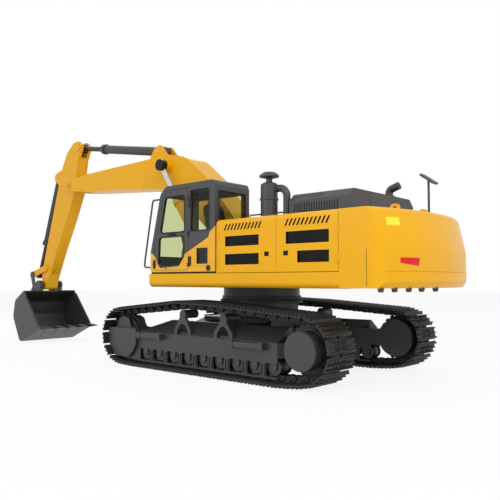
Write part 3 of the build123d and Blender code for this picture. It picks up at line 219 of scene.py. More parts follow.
area_light("key", (-11, 6, 12), (0, 0, 1.5), (9, 9), 1050)
area_light("fill", (3, 15, 7), (2, 0, 1.5), (10, 6), 420)
area_light("back", (14, -9, 11), (2, 0, 2), (9, 9), 600)
print("world light:", world_light)

# %% [markdown]
# ## Shared effects
# Paint on a real machine isn't one colour: broad patches differ a little, and fine dust lies on what
# faces up. One group mixes both from two noises and the way the surface faces.

# %% Group: dusty tone
tone_group, tone, tone_in, tone_out = new_group(
    "dusty_tone",
    [("Base", "NodeSocketColor", (0.5, 0.5, 0.5, 1)), ("Shade", "NodeSocketColor", (0.4, 0.4, 0.4, 1)),
     ("Dust", "NodeSocketColor", (0.3, 0.26, 0.2, 1)), ("Dust amount", "NodeSocketFloat", 0.2),
     ("Scale", "NodeSocketFloat", 1.0)],
    [("Color", "NodeSocketColor"), ("Dust mask", "NodeSocketFloat")],
)
tone_place = tone.node("ShaderNodeTexCoord").outputs["Object"]
broad = tone.node("ShaderNodeTexNoise", Detail=6.0, Roughness=0.6)
tone.link(tone_place, broad.inputs["Vector"])
tone.link(tone_in["Scale"], broad.inputs["Scale"])
broad_colour = tone.blend(broad.outputs["Fac"], tone_in["Base"], tone_in["Shade"])
speck = tone.node("ShaderNodeTexNoise", Scale=38.0, Detail=8.0, Roughness=0.75)
tone.link(tone_place, speck.inputs["Vector"])
speck_range = tone.node("ShaderNodeMapRange", **{"From Min": 0.46, "From Max": 0.72, "To Min": 0.15})
tone.link(speck.outputs["Fac"], speck_range.inputs["Value"])
normal_parts = tone.node("ShaderNodeSeparateXYZ")
tone.link(tone.node("ShaderNodeNewGeometry").outputs["Normal"], normal_parts.inputs["Vector"])
facing_up = tone.node("ShaderNodeMapRange", **{"From Min": -0.3, "From Max": 1.0, "To Min": 0.25})
tone.link(normal_parts.outputs["Z"], facing_up.inputs["Value"])
dust_share = tone.maths("MULTIPLY", tone.maths("MULTIPLY", speck_range.outputs["Result"],
                                               facing_up.outputs["Result"]), tone_in["Dust amount"])
tone.link(tone.blend(dust_share, broad_colour, tone_in["Dust"]), tone_out["Color"])
tone.link(dust_share, tone_out["Dust mask"])

# %% [markdown]
# A second group is a mask. It is 1 inside a box in the machine's own frame, the same on both sides, and it
# paints a recess black as painted shade of its depth, or a part of a panel in another colour. The least of
# the six distances to the box's sides is above zero only inside it. Painting by a mask leaves the imported
# node's mesh as it is.

# %% Group: box mask
mask_group, mask, mask_in, mask_out = new_group(
    "box_mask",
    [("Low", "NodeSocketVector", (0, 0, 0)), ("High", "NodeSocketVector", (1, 1, 1))],
    [("Inside", "NodeSocketFloat")],
)
mask_parts = mask.node("ShaderNodeSeparateXYZ")
mask.link(mask.node("ShaderNodeTexCoord").outputs["Object"], mask_parts.inputs["Vector"])
mirrored_place = mask.node("ShaderNodeCombineXYZ")
mask.link(mask_parts.outputs["X"], mirrored_place.inputs["X"])
mask.link(mask.maths("ABSOLUTE", mask_parts.outputs["Y"]), mirrored_place.inputs["Y"])
mask.link(mask_parts.outputs["Z"], mirrored_place.inputs["Z"])
mirrored, vector_kind = mirrored_place.outputs["Vector"], "ShaderNodeVectorMath"
over_low = mask.maths("SUBTRACT", mirrored, mask_in["Low"], vector_kind)
under_high = mask.maths("SUBTRACT", mask_in["High"], mirrored, vector_kind)
room = mask.maths("MINIMUM", over_low, under_high, vector_kind)
room_parts = mask.node("ShaderNodeSeparateXYZ")
mask.link(room, room_parts.inputs["Vector"])
least_room = mask.maths("MINIMUM", mask.maths("MINIMUM", room_parts.outputs["X"], room_parts.outputs["Y"]),
                        room_parts.outputs["Z"])
mask.link(mask.maths("GREATER_THAN", least_room, 0.0), mask_out["Inside"])
print("groups:", [group.name for group in bpy.data.node_groups])

# %% [markdown]
# ## Finishes
# Each finish is one Principled shader. Its colour comes from the dusty tone, its roughness rises with
# the dust, and a fine noise gives the grain of sprayed paint, cast iron or cloth. Values that are the
# same all over, such as the clear coat, stand on the shader's own sockets.


# %% Finish maker
# recess_black is painted shade: the black that stands for the shade deep in grilles, slots, a vent and louvre
# holes.
recess_black = (0.002, 0.002, 0.0025)


class Finish:
    """A material made of toned colour, roughness that follows the dust, and a fine grain."""

    def __init__(self, name, base, shade, dust, dust_amount, rough, spread, metallic=0.0, grain=0.05,
                 grain_scale=120.0, coat=0.0, gloss=0.5):
        self.material = bpy.data.materials.new(name)
        self.material.use_nodes = True
        self.made = Tree(self.material.node_tree)
        self.shader = self.material.node_tree.nodes["Principled BSDF"]
        self.shader.inputs["Metallic"].default_value = metallic
        self.shader.inputs["Coat Weight"].default_value = coat
        self.shader.inputs["Coat Roughness"].default_value = 0.12
        self.shader.inputs["Specular IOR Level"].default_value = gloss
        self.tone = self.toned(base, shade, dust, dust_amount)
        self.colour = self.tone.outputs["Color"]
        self.made.link(self.colour, self.shader.inputs["Base Color"])
        noise = self.made.node("ShaderNodeTexNoise", Scale=grain_scale, Detail=5.0, Roughness=0.6)
        self.made.link(self.made.node("ShaderNodeTexCoord").outputs["Object"], noise.inputs["Vector"])
        rough_limits = {"To Min": rough - spread, "To Max": rough + spread}
        rough_range = self.made.node("ShaderNodeMapRange", **rough_limits)
        self.made.link(noise.outputs["Fac"], rough_range.inputs["Value"])
        rough_sum = self.made.maths("ADD", rough_range.outputs["Result"], self.tone.outputs["Dust mask"])
        self.made.link(rough_sum, self.shader.inputs["Roughness"])
        lift = self.made.node("ShaderNodeBump", Strength=grain, Distance=0.002)
        self.made.link(noise.outputs["Fac"], lift.inputs["Height"])
        self.made.link(lift.outputs["Normal"], self.shader.inputs["Normal"])

    def toned(self, base, shade, dust, dust_amount):
        group = self.made.node("ShaderNodeGroup", node_tree=tone_group)
        group.inputs["Base"].default_value = (*base, 1)
        group.inputs["Shade"].default_value = (*shade, 1)
        group.inputs["Dust"].default_value = (*dust, 1)
        group.inputs["Dust amount"].default_value = dust_amount
        group.inputs["Scale"].default_value = 0.8
        return group

    def inside(self, low, high):
        """Mask that is 1 between two corners, mirrored over the machine's middle plane."""
        group = self.made.node("ShaderNodeGroup", node_tree=mask_group)
        group.inputs["Low"].default_value = low
        group.inputs["High"].default_value = high
        return group.outputs["Inside"]

    def overpaint(self, factor, colour):
        """Paints another colour where the mask is 1."""
        self.colour = self.made.blend(factor, self.colour, colour)
        self.made.link(self.colour, self.shader.inputs["Base Color"])

    def paint_depth_shade(self, factor, coat):
        """Painted shade: black without its clear coat where the mask is 1, for the shade deep in a grille."""
        self.overpaint(factor, recess_black)
        bare = self.made.maths("MULTIPLY", self.made.maths("SUBTRACT", 1.0, factor), coat)
        self.made.link(bare, self.shader.inputs["Coat Weight"])


# %% [markdown]
# The values are linear, so a colour that looks half bright in a picture is about 0.2 here. Iron is partly
# metallic and rough, a rod is polished, and cloth has a strong fine grain. The names that the record
# knows as slots are used for the new pieces too.

# %% Paints, steel, rubber and cloth
yellow = dict(base=(0.84, 0.42, 0.004), shade=(0.80, 0.395, 0.003), dust=(0.52, 0.36, 0.10), dust_amount=0.07,
              rough=0.34, spread=0.04, grain=0.05, grain_scale=140.0, coat=0.08, gloss=0.2)
charcoal = dict(base=(0.040, 0.041, 0.043), shade=(0.032, 0.033, 0.035), dust=(0.10, 0.095, 0.09),
                dust_amount=0.16, rough=0.40, spread=0.06, grain=0.08, grain_scale=120.0)
iron = dict(base=(0.036, 0.035, 0.034), shade=(0.022, 0.021, 0.021), dust=(0.11, 0.10, 0.09),
            dust_amount=0.35, rough=0.50, spread=0.10, metallic=0.5, grain=0.25, grain_scale=70.0)
steel = dict(base=(0.62, 0.62, 0.64), shade=(0.55, 0.55, 0.57), dust=(0.3, 0.3, 0.3), dust_amount=0.02,
             rough=0.12, spread=0.03, metallic=1.0, grain=0.01, grain_scale=300.0)
dark_rod = dict(base=(0.07, 0.07, 0.074), shade=(0.055, 0.055, 0.058), dust=(0.1, 0.1, 0.1), dust_amount=0.04,
                rough=0.24, spread=0.04, metallic=0.8, grain=0.01, grain_scale=300.0)
paint = {
    "yellow_paint": Finish("yellow_paint", **yellow),
    "charcoal_paint": Finish("charcoal_paint", **charcoal),
    "dark_iron": Finish("dark_iron", **iron),
    "chrome_rod": Finish("chrome_rod", **steel),
    "exhaust_steel": Finish("exhaust_steel", (0.10, 0.09, 0.085), (0.06, 0.05, 0.045), (0.16, 0.11, 0.07),
                            0.3, 0.5, 0.1, metallic=0.7, grain=0.1, grain_scale=90.0),
    "seat_fabric": Finish("seat_fabric", (0.03, 0.03, 0.033), (0.02, 0.02, 0.022), (0.07, 0.07, 0.07), 0.1,
                          0.85, 0.08, grain=0.6, grain_scale=400.0),
    "console_plastic": Finish("console_plastic", (0.032, 0.032, 0.034), (0.022, 0.022, 0.024),
                              (0.08, 0.08, 0.08), 0.1, 0.55, 0.05, grain=0.2, grain_scale=300.0),
    "rubber": Finish("rubber", (0.012, 0.012, 0.012), (0.009, 0.009, 0.009), (0.06, 0.055, 0.05), 0.2, 0.7,
                     0.05, grain=0.2, grain_scale=200.0),
    "red_reflector": Finish("red_reflector", (0.72, 0.0, 0.004), (0.62, 0.0, 0.003), (0.4, 0.1, 0.08), 0.05,
                            0.22, 0.03, grain=0.3, grain_scale=90.0, coat=0.1, gloss=0.3),
    # recess_black is painted shade: black pads that stand for the dark depth of the louvre slots.
    "recess_black": Finish("recess_black", recess_black, recess_black, (0.02, 0.02, 0.02), 0.05, 0.85, 0.05,
                           grain=0.1, gloss=0.2),
    "sign_yellow": Finish("sign_yellow", (0.90, 0.78, 0.02), (0.86, 0.74, 0.02), (0.5, 0.45, 0.2), 0.05,
                          0.35, 0.03, grain=0.02, grain_scale=200.0, coat=0.3),
}
print("finishes:", sorted(paint))

# %% [markdown]
# Some nodes need a second look on top of their paint: the door grilles and louvres get black painted shade
# inside, the hood's slots too, and the eyes of the chromed rods are dark iron. The real machine has separate
# panels and bushes there. A mask in the machine's frame does it without touching the node's mesh.

# %% Recesses and eyes
body_side = 1.5
hood_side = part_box("engine_hood")[1].y
skin = 0.0035
eye_dark = (0.03, 0.03, 0.032)
door_yellow = Finish("door_yellow", **yellow)
# Painted shade: the depth of the door grilles is painted black.
grilles_low, grilles_high = (-2.74, 1.4515, 1.85), (-0.28, body_side - skin, 2.578)
door_yellow.paint_depth_shade(door_yellow.inside(grilles_low, grilles_high), yellow["coat"])
hood_charcoal = Finish("hood_charcoal", **charcoal)
# Painted shade: the depth of the hood's slots is painted black.
slots_low, slots_high = (-2.44, hood_side - 0.02, 2.70), (-1.50, hood_side - skin, 2.87)
hood_charcoal.paint_depth_shade(hood_charcoal.inside(slots_low, slots_high), 0.0)
hinge_finish = Finish("hinge_paint", **yellow)
hinges_low, hinges_high = (0.2, 1.3, 1.7), (0.8, 1.7, 3.3)
hinge_finish.overpaint(hinge_finish.inside(hinges_low, hinges_high), eye_dark)
print("body side:", body_side, "hood side:", round(hood_side, 3))


def rod_finish(name, eye, reach, metal):
    """Polished metal along the rod, and dark iron within reach of the eye's centre, seen from the side."""
    made = Finish(name, **metal)
    low, high = (eye[0] - reach, -0.01, eye[1] - reach), (eye[0] + reach, 0.7, eye[1] + reach)
    made.overpaint(made.inside(low, high), eye_dark)
    return made


boom_eye, arm_eye, link_eye = (2.44, 4.10), (6.18, 5.10), (8.29, 1.79)
boom_rod_finish = rod_finish("boom_rod_chrome", boom_eye, 0.14, steel)
arm_rod_finish = rod_finish("arm_rod_dark", arm_eye, 0.14, dark_rod)
bucket_rod_finish = rod_finish("bucket_rod_dark", link_eye, 0.12, dark_rod)

# %% [markdown]
# ## Two colours on the cab
# The cab is charcoal with a yellow lower corner. Its border steps down from the rear pillar, slopes to
# the lower hinge and follows the door window's lower edge to the front. A Float Curve gives the border's
# height along X, and the paint is yellow below it on the outer side.

# %% Cab finish
border = [(-0.30, 2.57), (-0.24, 2.57), (-0.16, 2.50), (-0.10, 2.46), (-0.067, 2.371), (0.48, 2.121),
          (0.551, 2.085), (0.694, 1.915), (0.80, 1.872), (1.219, 1.848), (1.29, 1.92), (1.36, 2.06),
          (1.45, 2.126), (1.60, 2.15)]
border_x, border_z = (-0.3, 1.6), (1.7, 2.7)
cab_finish = Finish("cab_two_tone", **charcoal)
cab_tree = cab_finish.made
cab_parts = cab_tree.node("ShaderNodeSeparateXYZ")
cab_tree.link(cab_tree.node("ShaderNodeTexCoord").outputs["Object"], cab_parts.inputs["Vector"])
along_x = cab_tree.node("ShaderNodeMapRange", **{"From Min": border_x[0], "From Max": border_x[1]})
cab_tree.link(cab_parts.outputs["X"], along_x.inputs["Value"])
border_curve = cab_tree.node("ShaderNodeFloatCurve")
curve_points = border_curve.mapping.curves[0].points
scaled = [((x - border_x[0]) / (border_x[1] - border_x[0]), (z - border_z[0]) / (border_z[1] - border_z[0]))
          for x, z in border]
curve_points[0].location = scaled[0]
curve_points[1].location = scaled[-1]
for place in scaled[1:-1]:
    curve_points.new(*place)
for point in curve_points:
    point.handle_type = "VECTOR"
border_curve.mapping.update()
cab_tree.link(along_x.outputs["Result"], border_curve.inputs["Value"])
height = cab_tree.node("ShaderNodeMapRange", **{"From Min": border_z[0], "From Max": border_z[1]})
height.clamp = False
cab_tree.link(cab_parts.outputs["Z"], height.inputs["Value"])
below = cab_tree.maths("LESS_THAN", height.outputs["Result"], border_curve.outputs["Value"])
outer = cab_tree.maths("GREATER_THAN", cab_parts.outputs["Y"], body_side - 0.03)
cab_yellow = cab_finish.toned(yellow["base"], yellow["shade"], yellow["dust"], yellow["dust_amount"])
cab_finish.overpaint(cab_tree.maths("MULTIPLY", below, outer), cab_yellow.outputs["Color"])
# Painted shade: the inside of the air vent is painted black.
vent_low, vent_high = (-0.051, 1.465, 1.909), (0.231, body_side - skin, 2.191)
cab_finish.paint_depth_shade(cab_finish.inside(vent_low, vent_high), 0.1)
print("points on the cab's colour border:", len(border))

# %% [markdown]
# ## Glass
# The panes are thin and slightly green. Plain transmission with the colour on the shader keeps them
# honest in every view, and the white studio shows through them.

# %% Glass and who wears what
glass = bpy.data.materials.new("tinted_glass")
glass.use_nodes = True
glass_shader = glass.node_tree.nodes["Principled BSDF"]
glass_shader.inputs["Base Color"].default_value = (0.74, 0.78, 0.55, 1)
glass_shader.inputs["Roughness"].default_value = 0.03
glass_shader.inputs["Transmission Weight"].default_value = 1.0
glass_shader.inputs["IOR"].default_value = 1.2
special = {
    "left_front_door": door_yellow, "left_rear_door": door_yellow, "right_rear_door": door_yellow,
    "engine_hood": hood_charcoal, "cab_shell": cab_finish, "cab_door": cab_finish,
    "boom_cylinder_rods": boom_rod_finish, "arm_cylinder_rod": arm_rod_finish,
    "bucket_cylinder_rod": bucket_rod_finish, "door_hinges": hinge_finish,
    "lifting_eyes": paint["yellow_paint"],
}
for row in frame["record"]["subparts"]:
    node = nodes[row["node"]]
    node.data.materials.clear()
    if row["material_slot"] == "tinted_glass":
        node.data.materials.append(glass)
    else:
        node.data.materials.append(special.get(row["node"], paint[row["material_slot"]]).material)
print("nodes with a finish of their own:", len(special))

# %% [markdown]
# ## Surfaces from arrays
# A new piece is a grid of points, like a sheet of graph paper bent into shape. One function gives the
# faces of such a grid, and one turns arrays into a mesh, welds seams and poles, points the faces
# outwards and lets the piece ride on a body. Arrays are quicker to write and to change than modelling
# by hand, and a size is altered in one place.


# %% Grids and meshes
def grid_faces(rows, columns, wrap_rows=False, wrap_columns=False):
    """Four-cornered faces between neighbouring points of a grid, closed on itself where asked."""
    i = np.arange(rows if wrap_rows else rows - 1)[:, None]
    j = np.arange(columns if wrap_columns else columns - 1)[None, :]
    lower, upper = i * columns, ((i + 1) % rows) * columns
    following = (j + 1) % columns
    corners = np.broadcast_arrays(lower + j, lower + following, upper + following, upper + j)
    return np.stack(corners, -1).reshape(-1, 4)


piece_sizes = {}


def put(name, points, faces, colour, body, smooth=False):
    """A piece from arrays: points in metres and faces of point numbers. It wears a finish of the paint
    table, takes the slot of that name where the record has one, and rides on a body."""
    mesh = bpy.data.meshes.new(name)
    mesh.from_pydata(np.asarray(points, float).reshape(-1, 3).tolist(), [], np.asarray(faces).tolist())
    cleaner = bmesh.new()
    cleaner.from_mesh(mesh)
    bmesh.ops.remove_doubles(cleaner, verts=cleaner.verts, dist=1e-5)
    bmesh.ops.recalc_face_normals(cleaner, faces=cleaner.faces)
    cleaner.to_mesh(mesh)
    cleaner.free()
    mesh.polygons.foreach_set("use_smooth", np.full(len(mesh.polygons), smooth))
    mesh.materials.append(paint[colour].material)
    piece = bpy.data.objects.new(name, mesh)
    scene.collection.objects.link(piece)
    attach(piece, body)
    piece_sizes[name] = len(mesh.polygons)
    print("made", name, "with", piece_sizes[name], "faces on", body)
    return piece


# %% [markdown]
# Bolts, caps, bosses and studs are turned parts: a profile carried round an axis. A small form is made once
# at the origin, and its copies are one array: each place, plus the form's x, y and z along three
# directions square to each other. One joined mesh is lighter to handle than hundreds of objects.


# %% Turned forms and their copies
def turned(profile, sides):
    """A profile of (radius, height) pairs turned about the Z axis: x = r cos a, y = r sin a, z = height."""
    profile = np.asarray(profile, float)
    angle = np.arange(sides) * 2 * np.pi / sides
    ring = np.stack([np.cos(angle), np.sin(angle)], -1)
    flat = profile[:, None, :1] * ring[None]
    tall = np.broadcast_to(profile[:, None, 1:], (len(profile), sides, 1))
    return np.concatenate([flat, tall], -1).reshape(-1, 3), grid_faces(len(profile), sides, wrap_columns=True)


def placed(local, faces, seats, ways):
    """Copies of a small form: each point is its seat plus x, y and z along the seat's three ways."""
    points = seats[:, None] + sum(local[None, :, k:k + 1] * way[:, None] for k, way in enumerate(ways))
    offsets = np.arange(len(seats))[:, None, None] * len(local)
    return points.reshape(-1, 3), (faces[None] + offsets).reshape(-1, 4)


def many(local, faces, places, normals):
    """Copies whose z runs along the normal n: y runs along n cross u, and x along u, which is square to
    n and to the world's Y, or to its X where n itself lies along Y."""
    places, normals = np.asarray(places, float), np.asarray(normals, float)
    normals = normals / np.linalg.norm(normals, axis=1, keepdims=True)
    helper = np.where(np.abs(normals[:, 1:2]) > 0.9, np.array([[1.0, 0, 0]]), np.array([[0, 1.0, 0]]))
    across = np.cross(helper, normals)
    across = across / np.linalg.norm(across, axis=1, keepdims=True)
    return placed(local, faces, places, (across, np.cross(normals, across), normals))


def bolt_head(radius, tall):
    """A hexagon head on a washer, as a turned profile with six sides."""
    return turned([(0, -0.004), (radius * 1.3, -0.004), (radius * 1.3, tall * 0.25), (radius, tall * 0.25),
                   (radius, tall * 0.9), (radius * 0.8, tall), (0, tall)], 6)


print("points in one bolt head:", len(bolt_head(0.016, 0.016)[0]))

# %% [markdown]
# Seals, seams and bars are round or few-sided tubes. A curve object could make them too, but arrays keep
# the ring count small and close the ends in the same step.


# %% Tubes and joined arrays
def tube(route, radius, sides=10, closed=False):
    """A round tube along a route of points. Its ring at each point is radius times the cosine of one
    square direction plus the sine of the other, both square to the mean direction of the two runs."""
    route = np.asarray(route, float)
    forward = np.roll(route, -1, 0) - route
    backward = route - np.roll(route, 1, 0)
    if not closed:
        forward[-1] = backward[-1]
        backward[0] = forward[0]
    heading = forward / np.linalg.norm(forward, axis=1, keepdims=True)
    heading = heading + backward / np.linalg.norm(backward, axis=1, keepdims=True)
    heading = heading / np.linalg.norm(heading, axis=1, keepdims=True)
    least = np.argmin(np.abs(heading).max(0))
    helper = np.eye(3)[least]
    first = np.cross(heading, helper)
    first = first / np.linalg.norm(first, axis=1, keepdims=True)
    second = np.cross(heading, first)
    angle = np.arange(sides) * 2 * np.pi / sides
    rings = (route[:, None] + radius * (np.cos(angle)[None, :, None] * first[:, None]
                                        + np.sin(angle)[None, :, None] * second[:, None]))
    if not closed:
        rings = np.concatenate([np.broadcast_to(route[:1, None], rings[:1].shape), rings,
                                np.broadcast_to(route[-1:, None], rings[:1].shape)])
    return rings.reshape(-1, 3), grid_faces(len(rings), sides, wrap_rows=closed, wrap_columns=True)


def joined(parts):
    """One array of points and one of faces from several such pairs."""
    counts = np.cumsum([0] + [len(points) for points, _ in parts[:-1]])
    return (np.concatenate([points for points, _ in parts]),
            np.concatenate([faces + count for (_, faces), count in zip(parts, counts)]))


print("points in a straight tube:", len(tube([(0, 0, 0), (1, 0, 0)], 0.1)[0]))

# %% [markdown]
# Pressed plates, covers and window outlines have straight sides and round corners. An outline is written
# as its corners with a radius each, and a low plate is that outline drawn up from the wall.


# %% Rounded outlines and plates
def oblong(low, high, radius):
    """Corners of an upright oblong from its low and high (x, z), with one radius for all four."""
    return [(low[0], low[1], radius), (high[0], low[1], radius), (high[0], high[1], radius),
            (low[0], high[1], radius)]


def bend(last, here, following, radius, steps):
    """Arc that rounds the corner here between its two neighbours: it runs between the points where a
    circle of that radius touches both sides, at radius over the tangent of half the corner's angle."""
    here = np.array(here, float)
    to_last, to_next = np.array(last, float) - here, np.array(following, float) - here
    to_last, to_next = to_last / np.linalg.norm(to_last), to_next / np.linalg.norm(to_next)
    half = math.acos(float(np.clip(to_last @ to_next, -1, 1))) / 2
    start, end = here + to_last * radius / math.tan(half), here + to_next * radius / math.tan(half)
    middle = here + (to_last + to_next) / np.linalg.norm(to_last + to_next) * radius / math.sin(half)
    arc = start + (end - start) * np.linspace(0, 1, steps)[:, None] - middle
    return middle + arc / np.linalg.norm(arc, axis=1, keepdims=True) * radius


def rounded(corners):
    """A closed outline in which each corner (x, z, radius) becomes an arc of six points."""
    places = [corner[:2] for corner in corners]
    following = places[1:] + places[:1]
    return np.concatenate([bend(places[k - 1], places[k], following[k], corners[k][2], 6)
                           for k in range(len(corners))])


def raised_pad(corners, face, top, side=1, edge=0.004):
    """A low plate on a side wall: its rounded outline stands from under the wall to the top, where it is
    drawn in by the edge and closed at its middle. Points are (x, side times y, z)."""
    outline = rounded(corners)
    middle = (outline.min(0) + outline.max(0)) / 2
    half = (outline.max(0) - outline.min(0)) / 2
    levels = [(0.0, face - 0.004), (1.0, face - 0.004), (1.0, top - edge / 2), (None, top), (0.0, top)]
    rows = []
    for share, y in levels:
        scale = (half - edge) / half if share is None else share
        ring = middle + (outline - middle) * scale
        rows.append(np.insert(ring, 1, side * y, axis=1))
    return np.concatenate(rows), grid_faces(len(rows), len(outline), wrap_columns=True)


print("points in a rounded outline:", len(rounded(oblong((0, 0), (1, 1), 0.1))))

# %% [markdown]
# ## Pin path
# A real chain hangs on its pins, and the pins run tight round six circles: the sprocket, the rollers at
# both ends of the bottom run, the idler and the two carrier rollers. The path is arcs and straight runs in
# turn, so a pin's place is found from its distance along it, and fifty equal steps close the loop.

# %% Pin path
# The circles' columns are x, z and radius, from the sprocket along the ground to the carrier rollers.
circles = np.array([(-2.205, 0.582, 0.432), (-1.78, 0.2753, 0.1653), (1.78, 0.2753, 0.1653),
                    (2.195, 0.560, 0.435), (0.510, 1.020, 0.140), (-0.490, 0.985, 0.140)])
shoe_count = 50
track_centre_y = 1.38
ahead = np.roll(circles, -1, 0)
apart = ahead[:, :2] - circles[:, :2]
run_heading = (np.arctan2(apart[:, 1], apart[:, 0])
               - np.arccos((circles[:, 2] - ahead[:, 2]) / np.hypot(*apart.T)) + np.pi / 2)
arc_turn = (run_heading - np.roll(run_heading, 1)) % (2 * np.pi)
outward = np.stack([np.sin(run_heading), -np.cos(run_heading)], -1)
run_start = circles[:, :2] + circles[:, 2:] * outward
run_length = np.linalg.norm(ahead[:, :2] + ahead[:, 2:] * outward - run_start, axis=1)
marks = np.concatenate([[0], np.cumsum(np.stack([arc_turn * circles[:, 2], run_length], -1).ravel())])


def on_path(distance):
    """Point of the pin path: on an arc it is the centre plus the radius turned by distance over radius,
    and on a run it is the start plus the distance along the heading."""
    part = np.clip(np.searchsorted(marks, distance, side="right") - 1, 0, 2 * len(circles) - 1)
    which, rest = part // 2, distance - marks[part]
    angle = np.roll(run_heading, 1)[which] + rest / circles[which, 2]
    on_arc = circles[which, :2] + circles[which, 2:] * np.stack([np.sin(angle), -np.cos(angle)], -1)
    direction = np.stack([np.cos(run_heading), np.sin(run_heading)], -1)[which]
    on_run = run_start[which] + rest[:, None] * direction
    return np.where((part % 2 == 0)[:, None], on_arc, on_run)


pins = on_path(np.arange(shoe_count) * marks[-1] / shoe_count)
step = np.roll(pins, -1, 0) - pins
along = step / np.linalg.norm(step, axis=1, keepdims=True)
away = np.stack([along[:, 1], -along[:, 0]], -1)
link_pitch = float(np.linalg.norm(step[0]))
print("track loop length:", round(float(marks[-1]), 3), "link pitch:", round(link_pitch, 4))

# %% [markdown]
# ## Track chains
# A shoe is a pressed plate with three grouser bars, so its form is one line of heights along the link,
# swept across the track. Two cranked plates carry it on the pins. The chains stand in for the CAD loops,
# whose shoes are one outline, and keep their width, height and place.

# %% Shoes and links
sides = ((1, "left"), (-1, "right"))
shoe_half_width = 0.35
edge_top, plate_top, bar_top = 0.062, 0.074, 0.110
shoe_shares = np.array([-0.015, 0.045, 0.085, 0.125, 0.17, 0.40, 0.445, 0.485, 0.53, 0.76, 0.80, 0.85, 0.91,
                        0.975])
shoe_tops = np.array([edge_top] + [plate_top, bar_top, bar_top, plate_top] * 3 + [edge_top])
shoe_under = 0.0535
samples = len(shoe_shares)
flat_under = np.full(samples, shoe_under)
shoe_rows = [np.stack([shoe_shares * link_pitch, np.full(samples, y), h], -1)
             for y, h in ((-shoe_half_width, flat_under), (-shoe_half_width, shoe_tops),
                          (shoe_half_width, shoe_tops), (shoe_half_width, flat_under))]
shoe_ends = np.array([[k + row * samples for row in range(4)] for k in (0, samples - 1)])
shoe_form = (np.concatenate(shoe_rows), np.concatenate([grid_faces(4, samples, wrap_rows=True), shoe_ends]))
link_points = 28
link_half_height, link_half_thickness, link_reach = 0.053, 0.016, 0.048
waist_depth, waist_run = 0.22, 0.035
crank_inner, crank_shift, crank_run = 0.068, 0.035, 0.014


def link_form(row):
    """One cranked link plate: a squared ellipse round two pins, narrowed at its waist, whose distance
    from the chain's middle grows along it by a smooth step, so that its outer end laps the next one."""
    turn = np.arange(link_points) * 2 * np.pi / link_points
    cosine, sine = np.cos(turn), np.sin(turn)
    middle = link_pitch / 2
    x = middle + (middle + link_reach) * np.sign(cosine) * np.abs(cosine) ** 0.65
    waist = 1 - waist_depth * np.exp(-((x - middle) / waist_run) ** 2)
    tall = link_half_height * np.sign(sine) * np.abs(sine) ** 0.5 * np.where(sine < 0, waist, 1)
    crank = crank_inner + crank_shift / (1 + np.exp(-(x - middle) / crank_run))
    closing = np.full_like(crank, crank_inner + crank_shift / 2)
    levels = []
    for share, face in ((0, -1), (1, -1), (1, 1), (0, 1)):
        level_y = (crank if share else closing) + face * link_half_thickness
        levels.append(np.stack([middle + (x - middle) * share, row * level_y, tall * share], -1))
    return np.concatenate(levels), grid_faces(4, link_points, wrap_columns=True)


def along_chain(local, faces, side):
    """Copies on every link: x runs along the link, y across the track and z away from the loop."""
    seats = np.insert(pins, 1, side * track_centre_y, axis=1)
    across = np.tile([0, 1.0, 0], (shoe_count, 1))
    ways = (np.insert(along, 1, 0, axis=1), across, np.insert(away, 1, 0, axis=1))
    return placed(local, faces, seats, ways)


for side, name in sides:
    chain = joined([along_chain(*form, side) for form in (shoe_form, link_form(1), link_form(-1))])
    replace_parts(put(f"track_chain_{name}", *chain, "dark_iron", "undercarriage"), f"track_{name}")

# %% [markdown]
# ## Track hardware
# Bolt heads hold each shoe in pairs over both rows of links, and round bosses close the pins' ends and the
# inner faces of the plates. All are copies of two turned forms along the chain.

# %% Shoe bolts and pin bosses
boss_form = turned([(0, -0.01), (0.048, -0.01), (0.048, 0.004), (0.030, 0.012), (0.018, 0.006), (0, 0.006)],
                   14)
for side, name in sides:
    seats, facings, ends, end_facings = [], [], [], []
    for row in (-0.125, -0.055, 0.055, 0.125):
        for share in (0.29, 0.655):
            foot = pins + step * share + away * plate_top
            seats.append(np.insert(foot, 1, side * track_centre_y + row, axis=1))
            facings.append(np.insert(away, 1, 0, axis=1))
    for row, facing in ((-0.12, -1), (-0.05, 1), (0.05, -1), (0.12, 1)):
        ends.append(np.insert(pins, 1, side * track_centre_y + row, axis=1))
        end_facings.append(np.tile([0, facing, 0], (shoe_count, 1)))
    put(f"shoe_bolts_{name}", *many(*bolt_head(0.016, 0.016), np.concatenate(seats), np.concatenate(facings)),
        "dark_iron", "undercarriage")
    put(f"pin_bosses_{name}", *many(*boss_form, np.concatenate(ends), np.concatenate(end_facings)),
        "dark_iron", "undercarriage")
print("shoes on each track:", shoe_count)

# %% [markdown]
# ## Bolt circles
# The swing ring's race and the boom's end pin are held by rings of bolts. A ring of places is the
# centre plus the radius times cosine and sine, and one call copies the bolt to all of them.


# %% Rings of bolts
def ring_places(centre, radius, count, axis):
    """Places on a circle about an axis through centre, from the cosine and sine of equal steps."""
    angle = np.arange(count) * 2 * np.pi / count
    first = np.array([1.0, 0, 0])
    second = np.cross(axis, first)
    return np.array(centre) + radius * (np.cos(angle)[:, None] * first + np.sin(angle)[:, None] * second)


ring_bolt_z, ring_bolt_radius, ring_bolt_count = 1.25, 0.77, 48
ring_bolts = ring_places((0, 0, ring_bolt_z), ring_bolt_radius, ring_bolt_count, (0, 0, 1))
put("swing_ring_bolts", *many(*bolt_head(0.016, 0.02), ring_bolts, np.tile([0, 0, 1], (ring_bolt_count, 1))),
    "dark_iron", "undercarriage")

# %% [markdown]
# ## Tail
# The counterweight carries a blank sign plate and a blank red reflector, both bent to the tail's turned
# face, two thin seams and dark mounting studs under it. A patch on that face is a grid over angle and
# height at the tail's own radius, lifted by its thickness, with its rim folded back to the face.

# %% Patches on the tail
tail_radius = 3.70


def tail_profile(z):
    """Radius of the tail at a height: plumb up to 2.08 m, then leaning in to the top edge."""
    return tail_radius - 0.11 * np.clip((z - 2.08) / 0.52, 0, 1) ** 1.15


